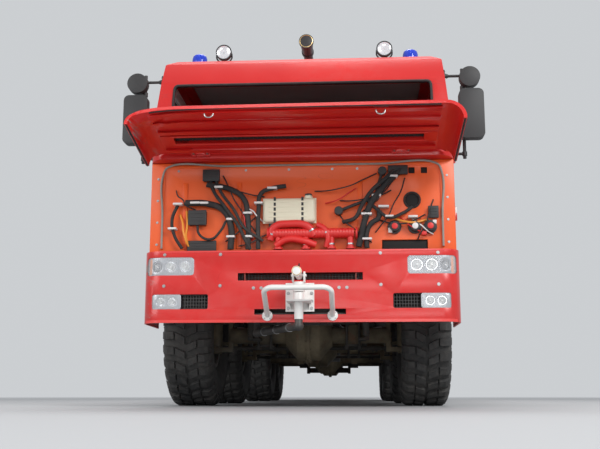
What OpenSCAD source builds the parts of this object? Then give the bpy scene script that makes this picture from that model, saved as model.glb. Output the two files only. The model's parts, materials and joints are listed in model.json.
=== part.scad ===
// Airport fire truck, four axles, crew cab with its front panel raised.
// X is the truck's left, -Y its front and Z up. Every station s is a distance
// behind the bumper face, and the whole truck is set by bumper_y at the end.

/* [Wheels and axles] */
// Outer radius of a tyre at the tips of its lugs
tyre_r = 630; // [600:5:640]
// Width of a tyre
tyre_w = 430; // [380:5:440]
// Radius of the rim's bead seat
rim_r = 267; // [255:1:280]
// Distance between the wheel planes of one axle
track = 2050; // [2000:10:2080]
// Station of the first axle
axle_1 = 1380; // [1360:10:1400]
// Distance from the first to the second axle
gap_12 = 1940; // [1900:10:2000]
// Distance from the second to the third axle
gap_23 = 3300; // [3200:10:3400]
// Distance from the third to the fourth axle
gap_34 = 1440; // [1420:5:1500]
// Distance of a kingpin inside its wheel plane
kingpin_in = 165; // [160:5:170]
// Radius of the open arch above each wheel
arch_r = 750; // [745:5:760]

/* [Frame] */
// Distance between the outer faces of the frame rails
frame_w = 870; // [840:10:880]
// Height of a frame rail
rail_h = 250; // [220:5:270]
// Top of the frame rails above the ground
rail_top = 1150; // [1140:5:1160]

/* [Cab] */
// Width of the cab
cab_w = 2450; // [2420:10:2480]
// Length of the cab behind the bumper face
cab_len = 3650; // [3600:10:3680]
// Height of the cab roof above the ground
roof_z = 2930; // [2900:10:2980]
// Thickness of the cab walls and doors
wall = 45; // [35:1:55]
// Height of the hinge of the front panel
hood_hinge_z = 1985; // [1980:1:1990]
// Angle by which the front panel stands open
hood_open = 100; // [80:1:105]

/* [Bumper] */
// Reach of the bumper beyond each side of the cab
bumper_over = 10; // [5:5:20]
// Lower edge of the bumper
bumper_z0 = 640; // [620:5:660]
// Upper edge of the bumper
bumper_z1 = 1200; // [1190:1:1205]

/* [Rear body] */
// Width of the rear body
body_w = 2500; // [2480:10:2540]
// Distance from the cab to the rear body
body_gap = 500; // [480:10:550]
// Length of the rear body
body_len = 6000; // [5900:10:6100]
// Height of the rear body roof above the ground
body_top = 2850; // [2800:10:2900]

/* [Monitors] */
// Length of the roof monitor's barrel ahead of its pivot
barrel_len = 1080; // [900:10:1150]
// Length of the bumper monitor's nozzle ahead of its pivot
nozzle_len = 260; // [200:10:280]

/* [Hidden] */
$fn = 48;
arc_fn = 144;
seat_gap = 0.3;
red = [0.78, 0.07, 0.06];
orange = [0.95, 0.42, 0.08];
black = [0.07, 0.07, 0.07];
white = [0.92, 0.92, 0.9];
olive = [0.33, 0.3, 0.24];

// Axle stations, wheel planes and kingpins
axle_2 = axle_1 + gap_12;
axle_3 = axle_2 + gap_23;
axle_4 = axle_3 + gap_34;
axles = [axle_1, axle_2, axle_3, axle_4];
steered = [axle_1, axle_2];
driven_rear = [axle_3, axle_4];
bogie_mid = (axle_3 + axle_4) / 2;
hub_z = tyre_r;
wheel_x = track / 2;
kingpin_x = wheel_x - kingpin_in;

// Frame
rail_x = frame_w / 2;
rail_flange = 80;
rail_t = 10;
rail_bottom = rail_top - rail_h;
rail_mid = rail_top - rail_h / 2;
bumper_t = 12;
// Ends of the second wheels' guards, which the mast and the deck stand clear of
guard_sheet = 10;
guard_edge_z = 1180;
guard_end = axle_2 + sqrt(pow(arch_r + guard_sheet, 2) - pow(guard_edge_z - hub_z, 2));
deck_s0 = max(cab_len, guard_end - 195);
body_s0 = deck_s0 + body_gap;
body_s1 = body_s0 + body_len;
rail_end = body_s1 - 150;

// Cab
cab_x = cab_w / 2;
cab_s0 = 60;
front_wall_s = 165;
front_wall_t = 35;
front_wall_top = 1950;
skirt_z = bumper_z1 + 6;
floor_z = 1410;
floor_t = 40;
belt_z = 2050;
lean = 55;
roof_round = 80;
shoulder_z = roof_z - 70;
corner_r = 140;
arch_open = 20;
shield_s = [60, 240];
shield_z = [2010, 2680];

// Front panel
hood_s0 = 5;
hood_t = 25;
hood_back = 150;
hood_top = 1975;
hood_bottom = 1215;
hood_side_top = 1940;
hood_hinge_s = 40;
hinge_r = 14;
hinge_pin_r = 8;
hood_hinges = [-800, 800];

// The truck's length runs from the raised panel's free edge to the rear bumper
rear_end = body_s1 + 120;
front_end = hood_hinge_s - (hood_hinge_z - hood_bottom) * sin(hood_open)
  + min((hood_back - hood_hinge_s) * cos(hood_open), (hood_s0 - hood_hinge_s) * cos(hood_open));
bumper_y = -(rear_end + front_end) / 2;

// Doors, each as [first station, last station]
door_z = [1250, 2760];
door_front_s = [330, 1400];
door_crew_s = [1930, 2830];
door_rake = 140;
door_gap = 8;
window_z = [2080, 2680];
window_edge = 90;
glass_t = 6;
door_axis_x = cab_x + 18;
door_hinge_z = [1480, 1960];
barrel_h = 55;

// Rear body
body_x = body_w / 2;
body_floor = 1320;
body_skirt = 1200;
body_chamfer = 100;
body_arch_r = 720;
bay_s0 = body_s1 - 1150;
bay_x = 850;
bay_z = [1370, 2600];
rear_door_t = 40;
shutter_z = [1450, 2560];
shutter_depth = 60;
shutter_s = [[150, 1350], [1450, 2350], [4750, 5500]];

// Monitors
monitor_s = 2000;
monitor_pivot_z = roof_z + 370;
plinth_h = 35;
guard_s = -150;
guard_x = 250;
guard_tube = 20;
guard_reach = 330;
guard_rise = 180;
guard_root_z = bumper_z0 + 50;
shelf_z = 780;
nozzle_pivot_z = 980;

module placed() {
  translate([0, bumper_y, 0]) children();
}

module both_sides() {
  children();
  mirror([1, 0, 0]) children();
}

// A block between two values of x, station and height
module block(x, s, z) {
  translate([x[0], s[0], z[0]]) cube([x[1] - x[0], s[1] - s[0], z[1] - z[0]]);
}

module bar_x(x, s, z, r) {
  translate([x[0], s, z]) rotate([0, 90, 0]) cylinder(h = x[1] - x[0], r = r);
}

module bar_s(x, s, z, r) {
  translate([x, s[0], z]) rotate([-90, 0, 0]) cylinder(h = s[1] - s[0], r = r);
}

module bar_z(x, s, z, r) {
  translate([x, s, z[0]]) cylinder(h = z[1] - z[0], r = r);
}

// An outline drawn in station and height, thickened across the truck
module across(w) {
  rotate([90, 0, 90]) linear_extrude(w, center = true) children();
}

// An outline drawn in x and height, thickened from one station to another
module lengthwise(s) {
  translate([0, s[1], 0]) rotate([90, 0, 0]) linear_extrude(s[1] - s[0]) children();
}

// A pipe through points, with a round elbow at each bend
module pipe(points, r) {
  for (i = [0 : len(points) - 2]) {
    run = points[i + 1] - points[i];
    translate(points[i]) rotate([0, acos(run[2] / norm(run)), atan2(run[1], run[0])])
      cylinder(h = norm(run), r = r);
  }
  for (i = [1 : len(points) - 2]) translate(points[i]) sphere(r + 2);
}

module rounded(x, y, r) {
  translate([x[0] + r, y[0]]) square([x[1] - x[0] - 2 * r, y[1] - y[0]]);
  translate([x[0], y[0] + r]) square([x[1] - x[0], y[1] - y[0] - 2 * r]);
  for (px = [x[0] + r, x[1] - r], py = [y[0] + r, y[1] - r]) translate([px, py]) circle(r);
}

// Frame

gearbox_s = axle_1 + 1470;
transfer_s = [axle_2 + 1160, axle_2 + 1640];
cross_members = [260, gearbox_s + 200, transfer_s[0] - 230, axle_3 - 820, axle_4 + 840, rail_end - 100];
cab_mounts = [450, cab_len - 200];
mount_w = 60;
tube_r = 55;

module rail() {
  difference() {
    block([rail_x - rail_flange, rail_x], [bumper_t, rail_end], [rail_bottom, rail_top]);
    block([0, rail_x - rail_t], [0, rail_end + 1], [rail_bottom + rail_t, rail_top - rail_t]);
  }
  block([rail_x - rail_flange, rail_x], [body_s0, rail_end], [rail_top, body_floor]);
  for (s = cab_mounts) {
    block([rail_x - mount_w, rail_x], [s, s + mount_w * 2], [rail_top, floor_z]);
  }
}

tow_s = [rail_end - 20, body_s1 + 110];
tow_pin_s = body_s1 + 60;
tow_pin_r = 20;
tow_z = [960, 1060];
tow_x = 70;

module frame_rails() {
  color([0.35, 0.1, 0.08]) placed() {
    difference() {
      union() {
        both_sides() rail();
        for (s = cross_members) {
          bar_x([-(rail_x - rail_t), rail_x - rail_t], s, rail_mid, tube_r);
        }
        block([-(rail_x - rail_t), rail_x - rail_t], [rail_end - 40, rail_end], [920, 1130]);
        block([-tow_x, tow_x], tow_s, tow_z);
      }
      bar_z(0, tow_pin_s, [tow_z[0] - 1, tow_z[1] + 1], tow_pin_r);
    }
  }
}

// Axles

beam_r = 75;
diff_r = 230;
diff_w = 200;
diff_cone = 110;
nose_r = 80;
nose_len = 285;
pad_half = 75;
pad_up = 87;
spring_x = rail_x - 35;
spring_w = 90;
yoke_z = [110, 150];
yoke_r = 60;
yoke_in = 160;
yoke_web = 40;
yoke_half = 42;
pin_r = 22;
chamber_x = 590;
chamber_z = hub_z + 135;
chamber_r = 72;
chamber_len = 170;
pin_gap = 0.5;
spindle_r = 50;
spindle_end = wheel_x + 75;
brake_x = wheel_x - 95;

module axle_beam(reach) {
  bar_x([-reach, reach], 0, hub_z, beam_r);
  bar_x([-diff_w / 2, diff_w / 2], 0, hub_z, diff_r);
  both_sides() {
    translate([diff_w / 2, 0, hub_z]) rotate([0, 90, 0])
      cylinder(h = diff_cone, r1 = diff_r, r2 = beam_r + 30);
    block([spring_x - spring_w / 2, spring_x + spring_w / 2], [-pad_half, pad_half],
      [hub_z - pad_up, hub_z + pad_up]);
  }
}

module yoke() {
  translate([kingpin_x, 0, hub_z]) difference() {
    union() {
      block([-yoke_in, -yoke_in + yoke_web], [-yoke_half, yoke_half], [-yoke_z[1], yoke_z[1]]);
      for (z = [-yoke_z[1], yoke_z[0]]) {
        block([-yoke_in, 0], [-yoke_r, yoke_r], [z, z + yoke_z[1] - yoke_z[0]]);
        bar_z(0, 0, [z, z + yoke_z[1] - yoke_z[0]], yoke_r);
      }
    }
    bar_z(0, 0, [-yoke_z[1] - 1, yoke_z[1] + 1], pin_r + pin_gap);
  }
}

// Noses of each differential: [station, front nose, rear nose]
noses = [[axle_1, 0, 1], [axle_2, 1, 1], [axle_3, 1, 1], [axle_4, 1, 0]];

module axle_housings() {
  color(olive) placed() {
    for (s = steered) translate([0, s, 0]) {
      axle_beam(kingpin_x - yoke_in + yoke_web / 2);
      both_sides() yoke();
    }
    for (s = driven_rear) translate([0, s, 0]) {
      axle_beam(brake_x - 20);
      both_sides() {
        bar_x([brake_x - 30, brake_x + 15], 0, hub_z, 170);
        bar_x([brake_x, spindle_end], 0, hub_z, spindle_r);
        block([chamber_x - 20, chamber_x + 20], [-30, 30], [hub_z, chamber_z + 40]);
        bar_s(chamber_x, [30, 30 + chamber_len], chamber_z, chamber_r);
        bar_s(chamber_x, [30 + chamber_len / 2 - 8, 30 + chamber_len / 2 + 8], chamber_z,
          chamber_r + 9);
      }
    }
    for (n = noses) {
      if (n[1] == 1) bar_s(0, [n[0] - nose_len, n[0]], hub_z, nose_r);
      if (n[2] == 1) bar_s(0, [n[0], n[0] + nose_len], hub_z, nose_r);
    }
  }
}

// Springs

leaf_t = 16;
front_leaves = 5;
front_half = 700;
front_sag = 80;
leaf_step = 110;
rear_leaves = 7;
rear_half = gap_34 / 2 + 60;
rear_sag = 60;
spring_lift = 0.7;
bolt_r = 11;
bolt_s = pad_half + 15;
plate_t = 15;
pad_top = hub_z + pad_up;

function arc_r(half, sag) = (half * half + sag * sag) / (2 * sag);

// Leaves curved up at their ends, the longest on top
module front_pack() {
  big = arc_r(front_half, front_sag);
  top = pad_top + front_leaves * leaf_t;
  translate([spring_x, 0, 0]) across(spring_w)
    for (i = [0 : front_leaves - 1]) {
      intersection() {
        translate([0, top + big]) difference() {
          circle(big + (i + 1) * leaf_t, $fn = 240);
          circle(big + i * leaf_t, $fn = 240);
        }
        translate([-(front_half - i * leaf_step), 0])
          square([2 * (front_half - i * leaf_step), rail_bottom]);
      }
    }
}

module rear_pack() {
  big = arc_r(rear_half, rear_sag) + leaf_t;
  top = pad_top + rear_sag + leaf_t + spring_lift;
  translate([spring_x, 0, 0]) across(spring_w)
    for (i = [0 : rear_leaves - 1]) {
      intersection() {
        translate([0, top - big]) difference() {
          circle(big - i * leaf_t, $fn = 240);
          circle(big - (i + 1) * leaf_t, $fn = 240);
        }
        translate([-(rear_half - i * leaf_step), 0])
          square([2 * (rear_half - i * leaf_step), rail_bottom]);
      }
    }
}

trunnion_r = 90;
trunnion_z = pad_top + rear_sag - (rear_leaves - 1) * leaf_t - trunnion_r + 5;
hanger_half = 40;
bracket_x = [spring_x - spring_w / 2 - 55, spring_x - spring_w / 2 - 15];
cross_tube_z = 470;

module leaf_springs() {
  color([0.16, 0.15, 0.15]) placed() {
    for (s = steered) translate([0, s, 0]) both_sides() {
      front_pack();
      for (e = [-1, 1]) {
        translate([0, e * front_half, 0])
          block([spring_x - spring_w / 2, spring_x + spring_w / 2], [-hanger_half, hanger_half],
            [rail_bottom - 65, rail_bottom]);
      }
      for (z = [hub_z - pad_up - plate_t, pad_top + front_leaves * leaf_t]) {
        block([spring_x - spring_w / 2 - 15, spring_x + spring_w / 2 + 15],
          [-bolt_s - bolt_r, bolt_s + bolt_r], [z, z + plate_t]);
      }
      for (e = [-bolt_s, bolt_s], f = [-1, 1]) {
        bar_z(spring_x + f * (spring_w / 2 + bolt_r + 1), e,
          [hub_z - pad_up - plate_t, pad_top + front_leaves * leaf_t + 30], bolt_r);
      }
    }
    translate([0, bogie_mid, 0]) both_sides() {
      rear_pack();
      bar_x([spring_x - spring_w / 2 - 15, spring_x + spring_w / 2 + 15], 0, trunnion_z,
        trunnion_r);
      bar_x([0, bracket_x[1]], 0, cross_tube_z, 40);
      block(bracket_x, [-110, 110], [cross_tube_z - 50, rail_top - 20]);
      block([bracket_x[0], rail_x - rail_t], [-110, 110], [rail_mid - 90, rail_mid + 90]);
      bar_x([bracket_x[0], spring_x], 0, trunnion_z, 60);
    }
  }
}

// Steering

arm_back = 260;
arm_in = 140;
arm_z = [-82, -52];
arm_len = sqrt(arm_back * arm_back + arm_in * arm_in);
arm_turn = 90 + atan(arm_in / arm_back);
tie_r = 18;
ball_r = 28;
ball_over = 4;
tie_z = hub_z + arm_z[0] - seat_gap - ball_over - tie_r;

module tie_rod(s) {
  color(black) placed() {
    bar_x([-(kingpin_x - arm_in), kingpin_x - arm_in], s + arm_back, tie_z, tie_r);
    both_sides() bar_z(kingpin_x - arm_in, s + arm_back, [tie_z - tie_r - ball_over, tie_z + tie_r + ball_over], ball_r);
  }
}

// A steered hub carrier, drawn for the left side with its kingpin at the origin
module knuckle_form() {
  bar_z(0, 0, [-100, 100], yoke_r);
  bar_z(0, 0, [-165, 165], pin_r);
  bar_x([0, brake_x - kingpin_x], 0, 0, yoke_r);
  bar_x([brake_x - kingpin_x, brake_x - kingpin_x + 15], 0, 0, 170);
  bar_x([brake_x - kingpin_x, spindle_end - kingpin_x], 0, 0, spindle_r);
  rotate([0, 0, arm_turn]) block([0, arm_len], [-20, 20], arm_z);
  translate([-arm_in, arm_back, 0]) bar_z(0, 0, arm_z, ball_r);
}

module knuckle(s, side) {
  color(olive) placed() mirror([side < 0 ? 1 : 0, 0, 0])
    translate([kingpin_x, s, hub_z]) knuckle_form();
}

// Wheels

bead_half = 150;
rim_flange = 22;
lug_h = 28;

// Half of a tyre's section: [radius, distance from the wheel plane]
tyre_section = [
  [rim_r + seat_gap, bead_half - seat_gap], [rim_r + rim_flange + 6, bead_half + 2],
  [rim_r + 60, tyre_w / 2 - 25], [rim_r + 160, tyre_w / 2],
  [tyre_r - 105, tyre_w / 2 - 5], [tyre_r - 50, tyre_w / 2 - 18],
  [tyre_r - lug_h - 6, tyre_w / 2 - 50], [tyre_r - lug_h, tyre_w / 2 - 95]
];

// Lugs on each half of the tread, the halves half a pitch apart
lug_count = 30;
lug_share = 0.56;
lug_draft = 0.5;
lug_x = [18, tyre_w / 2 - 44];
lug_root = tyre_r - lug_h - 26;
lug_pitch = 360 / lug_count;

function polar(r, a) = [r * cos(a), r * sin(a)];

// A ring of lugs as a toothed outline: root, two tip corners, root
module lug_ring(lag) {
  linear_extrude(lug_x[1] - lug_x[0]) difference() {
    polygon([for (i = [0 : lug_count - 1], p = [
      [lug_root, 0], [tyre_r, lug_draft], [tyre_r, lug_share * lug_pitch - lug_draft],
      [lug_root, lug_share * lug_pitch]
    ]) polar(p[0], (i + lag) * lug_pitch + p[1])]);
    circle(lug_root - 20);
  }
}

function opposite(points) = [for (i = [len(points) - 1 : -1 : 0]) [points[i][0], -points[i][1]]];

// Turned about the X axis, with a section given as [radius, offset]
module turned(points) {
  rotate([0, 90, 0]) rotate_extrude($fn = 72) polygon(points);
}

module tyre(s, side) {
  color(black) placed() translate([side * wheel_x, s, hub_z]) {
    turned(concat(tyre_section, opposite(tyre_section)));
    rotate([0, 90, 0]) {
      translate([0, 0, lug_x[0]]) lug_ring(0);
      translate([0, 0, -lug_x[1]]) lug_ring(0.5);
    }
  }
}

barrel_t = 12;
disc_r = 190;
drum_r = 205;

module rim_form() {
  turned([
    [rim_r, -bead_half], [rim_r, bead_half], [rim_r + rim_flange, bead_half + 4],
    [rim_r + rim_flange, bead_half + 14], [rim_r - barrel_t, bead_half + 10],
    [rim_r - barrel_t, -bead_half - 10], [rim_r + rim_flange, -bead_half - 14],
    [rim_r + rim_flange, -bead_half - 4]
  ]);
  turned([
    [spindle_r + 0.6, -60], [drum_r, -60], [drum_r, 30], [rim_r - barrel_t + 2, 30],
    [rim_r - barrel_t + 2, 45], [120, 45], [120, 110], [90, 130], [0, 130], [0, 82],
    [spindle_r + 0.6, 82]
  ]);
}

module rim(s, side) {
  color([0.75, 0.06, 0.06]) placed() mirror([side < 0 ? 1 : 0, 0, 0])
    translate([wheel_x, s, hub_z]) rim_form();
}

// Engine, shafts and what hangs on the frame

engine_s = [axle_1 - 660, axle_1 + 620];
engine_x = 320;
engine_z = [900, 1345];
drive_z = 915;

module engine_block() {
  color([0.3, 0.31, 0.32]) placed() {
    block([-engine_x, engine_x], engine_s, engine_z);
    both_sides() for (s = [engine_s[0] + 150, engine_s[1] - 250])
      block([engine_x, rail_x - rail_t], [s, s + 100], [rail_mid - 30, rail_mid + 30]);
  }
}

shaft_r = 40;

// A shaft between two flanges on the centre line
module shaft(s, z) {
  bar_s(0, s, z, shaft_r);
  bar_s(0, [s[0], s[0] + 40], z, shaft_r + 12);
  bar_s(0, [s[1] - 40, s[1]], z, shaft_r + 12);
}

module driveline() {
  color([0.22, 0.22, 0.22]) placed() {
    translate([0, engine_s[1], rail_mid]) rotate([-90, 0, 0])
      cylinder(h = 250, r1 = 290, r2 = 170);
    bar_s(0, [engine_s[1] + 200, gearbox_s], rail_mid, 170);
    block([-90, 90], [gearbox_s - 120, gearbox_s], [drive_z - 55, rail_mid]);
    shaft([gearbox_s, transfer_s[0]], drive_z);
    block([-220, 220], transfer_s, [hub_z - 110, rail_mid + 120]);
    both_sides() block([220, rail_x - rail_t], [transfer_s[0] + 150, transfer_s[0] + 300],
      [rail_mid - 30, rail_mid + 30]);
    shaft([axle_1 + nose_len, axle_2 - nose_len], hub_z);
    shaft([axle_2 + nose_len, transfer_s[0]], hub_z);
    shaft([transfer_s[1], axle_3 - nose_len], hub_z);
    shaft([axle_3 + nose_len, axle_4 - nose_len], hub_z);
  }
}

supply_r = 30;
supply_up = 50;
elbow_r = 37;
supply_z = bumper_z0 - 40;
supply_end = [-395, 600];
supply_turn = atan(-supply_end[0] / (supply_end[1] - guard_s));
supply_len = sqrt(pow(supply_end[0], 2) + pow(supply_end[1] - guard_s, 2));
guard_plate_z = [rail_bottom - 205, rail_bottom - 185];
guard_plate_s = [bumper_t + 30, 940];

// Under-guard below the radiator, with its pressed ribs, and the radiator above it
module radiator_guard() {
  color([0.1, 0.09, 0.09]) placed() {
    block([-420, 420], guard_plate_s, guard_plate_z);
    both_sides() block([360, 420], [100, 560], [guard_plate_z[1], rail_bottom]);
    difference() {
      block([-230, 230], [380, 800], [guard_plate_z[0] - 18, guard_plate_z[0]]);
      block([-190, 190], [420, 760], [guard_plate_z[0] - 19, guard_plate_z[0]]);
    }
    for (s = [480, 570, 660]) block([-120, 120], [s, s + 40],
      [guard_plate_z[0] - 14, guard_plate_z[0]]);
    block([-340, 340], [330, 430], [guard_plate_z[1], 1340]);
    bar_z(0, guard_s, [supply_z, supply_z + supply_up], supply_r);
    translate([0, guard_s, supply_z]) {
      sphere(elbow_r);
      rotate([0, 0, supply_turn]) bar_s(0, [0, supply_len], 0, supply_r);
    }
    translate([supply_end[0], supply_end[1], supply_z]) sphere(elbow_r);
    bar_z(supply_end[0], supply_end[1], [supply_z, rail_bottom], supply_r);
  }
}

locker_s = [body_s0 + 40, axle_3 - 920];
locker_x = [560, body_x - 15];
locker_z = [760, 1190];

module side_lockers() {
  color([0.15, 0.15, 0.16]) placed() both_sides() {
    difference() {
      translate([(locker_x[0] + locker_x[1]) / 2, 0, 0])
        lengthwise(locker_s)
          rounded([-(locker_x[1] - locker_x[0]) / 2, (locker_x[1] - locker_x[0]) / 2],
            locker_z, 60);
      for (s = [locker_s[0] + 740, locker_s[0] + 1100])
        block([locker_x[1] - 12, locker_x[1] + 1], [s, s + 12], [locker_z[0] - 1, locker_z[1] + 1]);
    }
    for (s = [locker_s[0] + 150, locker_s[1] - 250])
      block([rail_x, locker_x[0]], [s, s + 80], [rail_mid - 60, rail_mid + 60]);
  }
}

mast_s = deck_s0 + 335;
mast_x = 900;

module intake_mast() {
  color(black) placed() {
    block([-mast_x - 130, mast_x + 130], [mast_s - 110, mast_s + 110], [rail_top, rail_top + 60]);
    block([500, 1100], [mast_s - 110, mast_s + 110], [rail_top + 60, 1900]);
    bar_z(mast_x, mast_s, [1900, 3080], 48);
    bar_z(mast_x, mast_s, [2900, 3180], 62);
    block([-1100, -600], [mast_s - 110, mast_s + 110], [rail_top + 60, 2000]);
    bar_z(-mast_x, mast_s, [2000, 2800], 100);
    bar_z(-mast_x, mast_s, [2780, 2920], 140);
  }
}

// Cab

cab_side = [
  [front_wall_s + front_wall_t, skirt_z], [front_wall_s + front_wall_t, front_wall_top],
  [cab_s0, front_wall_top + 10], [shield_s[0], shield_z[0]], [shield_s[1], shield_z[1]],
  [shield_s[1] + 90, roof_z - 60], [shield_s[1] + 190, roof_z], [cab_len - 90, roof_z],
  [cab_len, roof_z - 80], [cab_len, skirt_z]
];
room_s0 = front_wall_s + front_wall_t + wall;
cab_room = [
  [room_s0, floor_z + floor_t], [room_s0, 2000], [shield_s[0] + 70, 2050],
  [shield_s[1] + 50, shield_z[1] - 30], [shield_s[1] + 120, roof_z - 100],
  [shield_s[1] + 200, roof_z - wall], [cab_len - 100, roof_z - wall],
  [cab_len - wall, roof_z - 100], [cab_len - wall, floor_z + floor_t]
];

module cab_plan(inset) {
  translate([-(cab_x - corner_r), cab_s0 + inset])
    square([2 * (cab_x - corner_r), cab_len - cab_s0 - 2 * inset]);
  translate([-(cab_x - inset), cab_s0 + corner_r])
    square([2 * (cab_x - inset), cab_len - cab_s0 - corner_r - inset]);
  for (e = [-1, 1]) translate([e * (cab_x - corner_r), cab_s0 + corner_r])
    circle(corner_r - inset);
}

// Front outline of the cab: upright to the belt, then leaning in
module cab_front(inset) {
  right = [
    [cab_x - inset, skirt_z - 1], [cab_x - inset, belt_z], [cab_x - lean - inset, shoulder_z],
    [cab_x - lean - roof_round - inset, roof_z - inset]
  ];
  polygon(concat(right, [for (i = [3 : -1 : 0]) [-right[i][0], right[i][1]]]));
}

module cab_solid(inset) {
  intersection() {
    across(cab_w) polygon(inset > 0 ? cab_room : cab_side);
    lengthwise([0, cab_len]) cab_front(inset);
    translate([0, 0, skirt_z - 1]) linear_extrude(roof_z) cab_plan(inset);
  }
}

// A shell as thick as the doors
module cab_skin() {
  difference() {
    cab_solid(0);
    cab_solid(wall);
  }
}

module wheel_arches(r) {
  both_sides() for (s = steered) bar_x([480, cab_x + 100], s, hub_z, r, $fn = arc_fn);
}

// Door outlines in station and height, grown by g on every side
module front_door_outline(g) {
  polygon([
    [door_front_s[0] - g, door_z[0] - g], [door_front_s[0] - g, belt_z],
    [door_front_s[0] + door_rake - g, door_z[1] + g], [door_front_s[1] + g, door_z[1] + g],
    [door_front_s[1] + g, door_z[0] - g]
  ]);
}

module crew_door_outline(g) {
  translate([door_crew_s[0] - g, door_z[0] - g])
    square([door_crew_s[1] - door_crew_s[0] + 2 * g, door_z[1] - door_z[0] + 2 * g]);
}

module front_window_outline(g) {
  polygon([
    [door_front_s[0] + window_edge + 30 - g, window_z[0] - g],
    [door_front_s[0] + door_rake + window_edge - g, window_z[1] + g],
    [door_front_s[1] - window_edge + g, window_z[1] + g],
    [door_front_s[1] - window_edge + g, window_z[0] - g]
  ]);
}

module crew_window_outline(g) {
  rounded([door_crew_s[0] + window_edge - g, door_crew_s[1] - window_edge + g],
    [window_z[0] - g, window_z[1] + g], 50);
}

module left_side() {
  translate([cab_x, 0, 0]) across(6 * wall) children();
}

module cab_hinges() {
  for (s = [door_front_s[0], door_crew_s[0]], z = door_hinge_z) {
    bar_z(door_axis_x, s - door_gap / 2, [z, z + barrel_h], hinge_r - 2);
    bar_z(door_axis_x, s - door_gap / 2, [z, z + 2 * barrel_h + 5], 6);
    block([cab_x - 1, door_axis_x], [s - 60, s - door_gap], [z, z + barrel_h]);
  }
}

module hood_hinge_brackets() {
  for (x = hood_hinges) {
    block([x - 30, x + 30], [hood_hinge_s, cab_s0 + 1], [hood_hinge_z - 12, hood_hinge_z + 12]);
    bar_x([x - 30, x + 30], hood_hinge_s, hood_hinge_z, hinge_r - 1);
    bar_x([x - 75, x + 75], hood_hinge_s, hood_hinge_z, hinge_pin_r);
  }
}

module cab_shell() {
  color(red) placed() {
    difference() {
      cab_skin();
      block([-(cab_x - wall), cab_x - wall], [0, cab_len + 1], [skirt_z - 2, floor_z]);
      block([-(cab_x - corner_r - 20), cab_x - corner_r - 20], [0, shield_s[1] + 140],
        [shield_z[0] + 60, shield_z[1] - 40]);
      wheel_arches(arch_r + arch_open);
      both_sides() {
        left_side() front_door_outline(door_gap);
        left_side() crew_door_outline(door_gap);
      }
    }
    both_sides() cab_hinges();
    hood_hinge_brackets();
  }
}

module door_hinge_leaves(s) {
  for (z = door_hinge_z) {
    difference() {
      union() {
        bar_z(door_axis_x, s - door_gap / 2, [z + barrel_h + 5, z + 2 * barrel_h], hinge_r - 2);
        block([cab_x - 1, door_axis_x], [s, s + 60], [z + barrel_h + 5, z + 2 * barrel_h]);
      }
      bar_z(door_axis_x, s - door_gap / 2, [z, z + 3 * barrel_h], 6.4);
    }
  }
}

handle_z = 1750;

module door_handle(s) {
  block([cab_x - 1, cab_x + 28], [s - 190, s - 170], [handle_z, handle_z + 24]);
  block([cab_x - 1, cab_x + 28], [s - 80, s - 60], [handle_z, handle_z + 24]);
  block([cab_x + 14, cab_x + 28], [s - 190, s - 60], [handle_z, handle_z + 24]);
}

module front_door() {
  difference() {
    intersection() {
      cab_skin();
      left_side() front_door_outline(0);
    }
    left_side() front_window_outline(0);
    wheel_arches(arch_r + arch_open);
  }
  door_hinge_leaves(door_front_s[0]);
  door_handle(door_front_s[1]);
}

module crew_door() {
  difference() {
    intersection() {
      cab_skin();
      left_side() crew_door_outline(0);
    }
    left_side() crew_window_outline(0);
  }
  door_hinge_leaves(door_crew_s[0]);
  door_handle(door_crew_s[1]);
}

// A pane half way through the door's thickness
module pane() {
  intersection() {
    difference() {
      lengthwise([0, cab_len]) cab_front(wall / 2);
      lengthwise([-1, cab_len + 1]) cab_front(wall / 2 + glass_t);
    }
    left_side() children();
  }
}

module door_front_left() {
  color(white) placed() front_door();
}

module door_front_right() {
  color(white) placed() mirror([1, 0, 0]) front_door();
}

module door_crew_left() {
  color(red) placed() crew_door();
}

module door_crew_right() {
  color(red) placed() mirror([1, 0, 0]) crew_door();
}

module glass_front_left() {
  color([0.2, 0.25, 0.27]) placed() pane() front_window_outline(-seat_gap);
}

module glass_front_right() {
  color([0.2, 0.25, 0.27]) placed() mirror([1, 0, 0]) pane() front_window_outline(-seat_gap);
}

module glass_crew_left() {
  color([0.2, 0.25, 0.27]) placed() pane() crew_window_outline(-seat_gap);
}

module glass_crew_right() {
  color([0.2, 0.25, 0.27]) placed() mirror([1, 0, 0]) pane() crew_window_outline(-seat_gap);
}

// Front wall behind the raised panel, and what is fixed on it

seal_x = cab_x - 95;

module cab_front_wall() {
  color(orange) placed() {
    difference() {
      intersection() {
        block([-cab_x, cab_x], [front_wall_s, front_wall_s + front_wall_t],
          [bumper_z1, front_wall_top]);
        translate([0, 0, skirt_z]) linear_extrude(roof_z) cab_plan(0);
      }
      bar_s(884, [front_wall_s - 1, front_wall_s + 60], 1620, 55);
      for (x = [860, 960]) block([x, x + 50], [front_wall_s - 1, front_wall_s + 60], [1840, 1890]);
      block([640, 1000], [front_wall_s - 1, front_wall_s + 60], [bumper_z1 - 1, 1300]);
    }
    block([-seal_x, seal_x], [front_wall_s - 12, front_wall_s], [1905, 1925]);
    both_sides() block([seal_x - 20, seal_x], [front_wall_s - 12, front_wall_s], [1240, 1905]);
    for (x = [-960, -520, 450]) block([x, x + 40], [front_wall_s - 8, front_wall_s], [1240, 1780]);
  }
}

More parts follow.
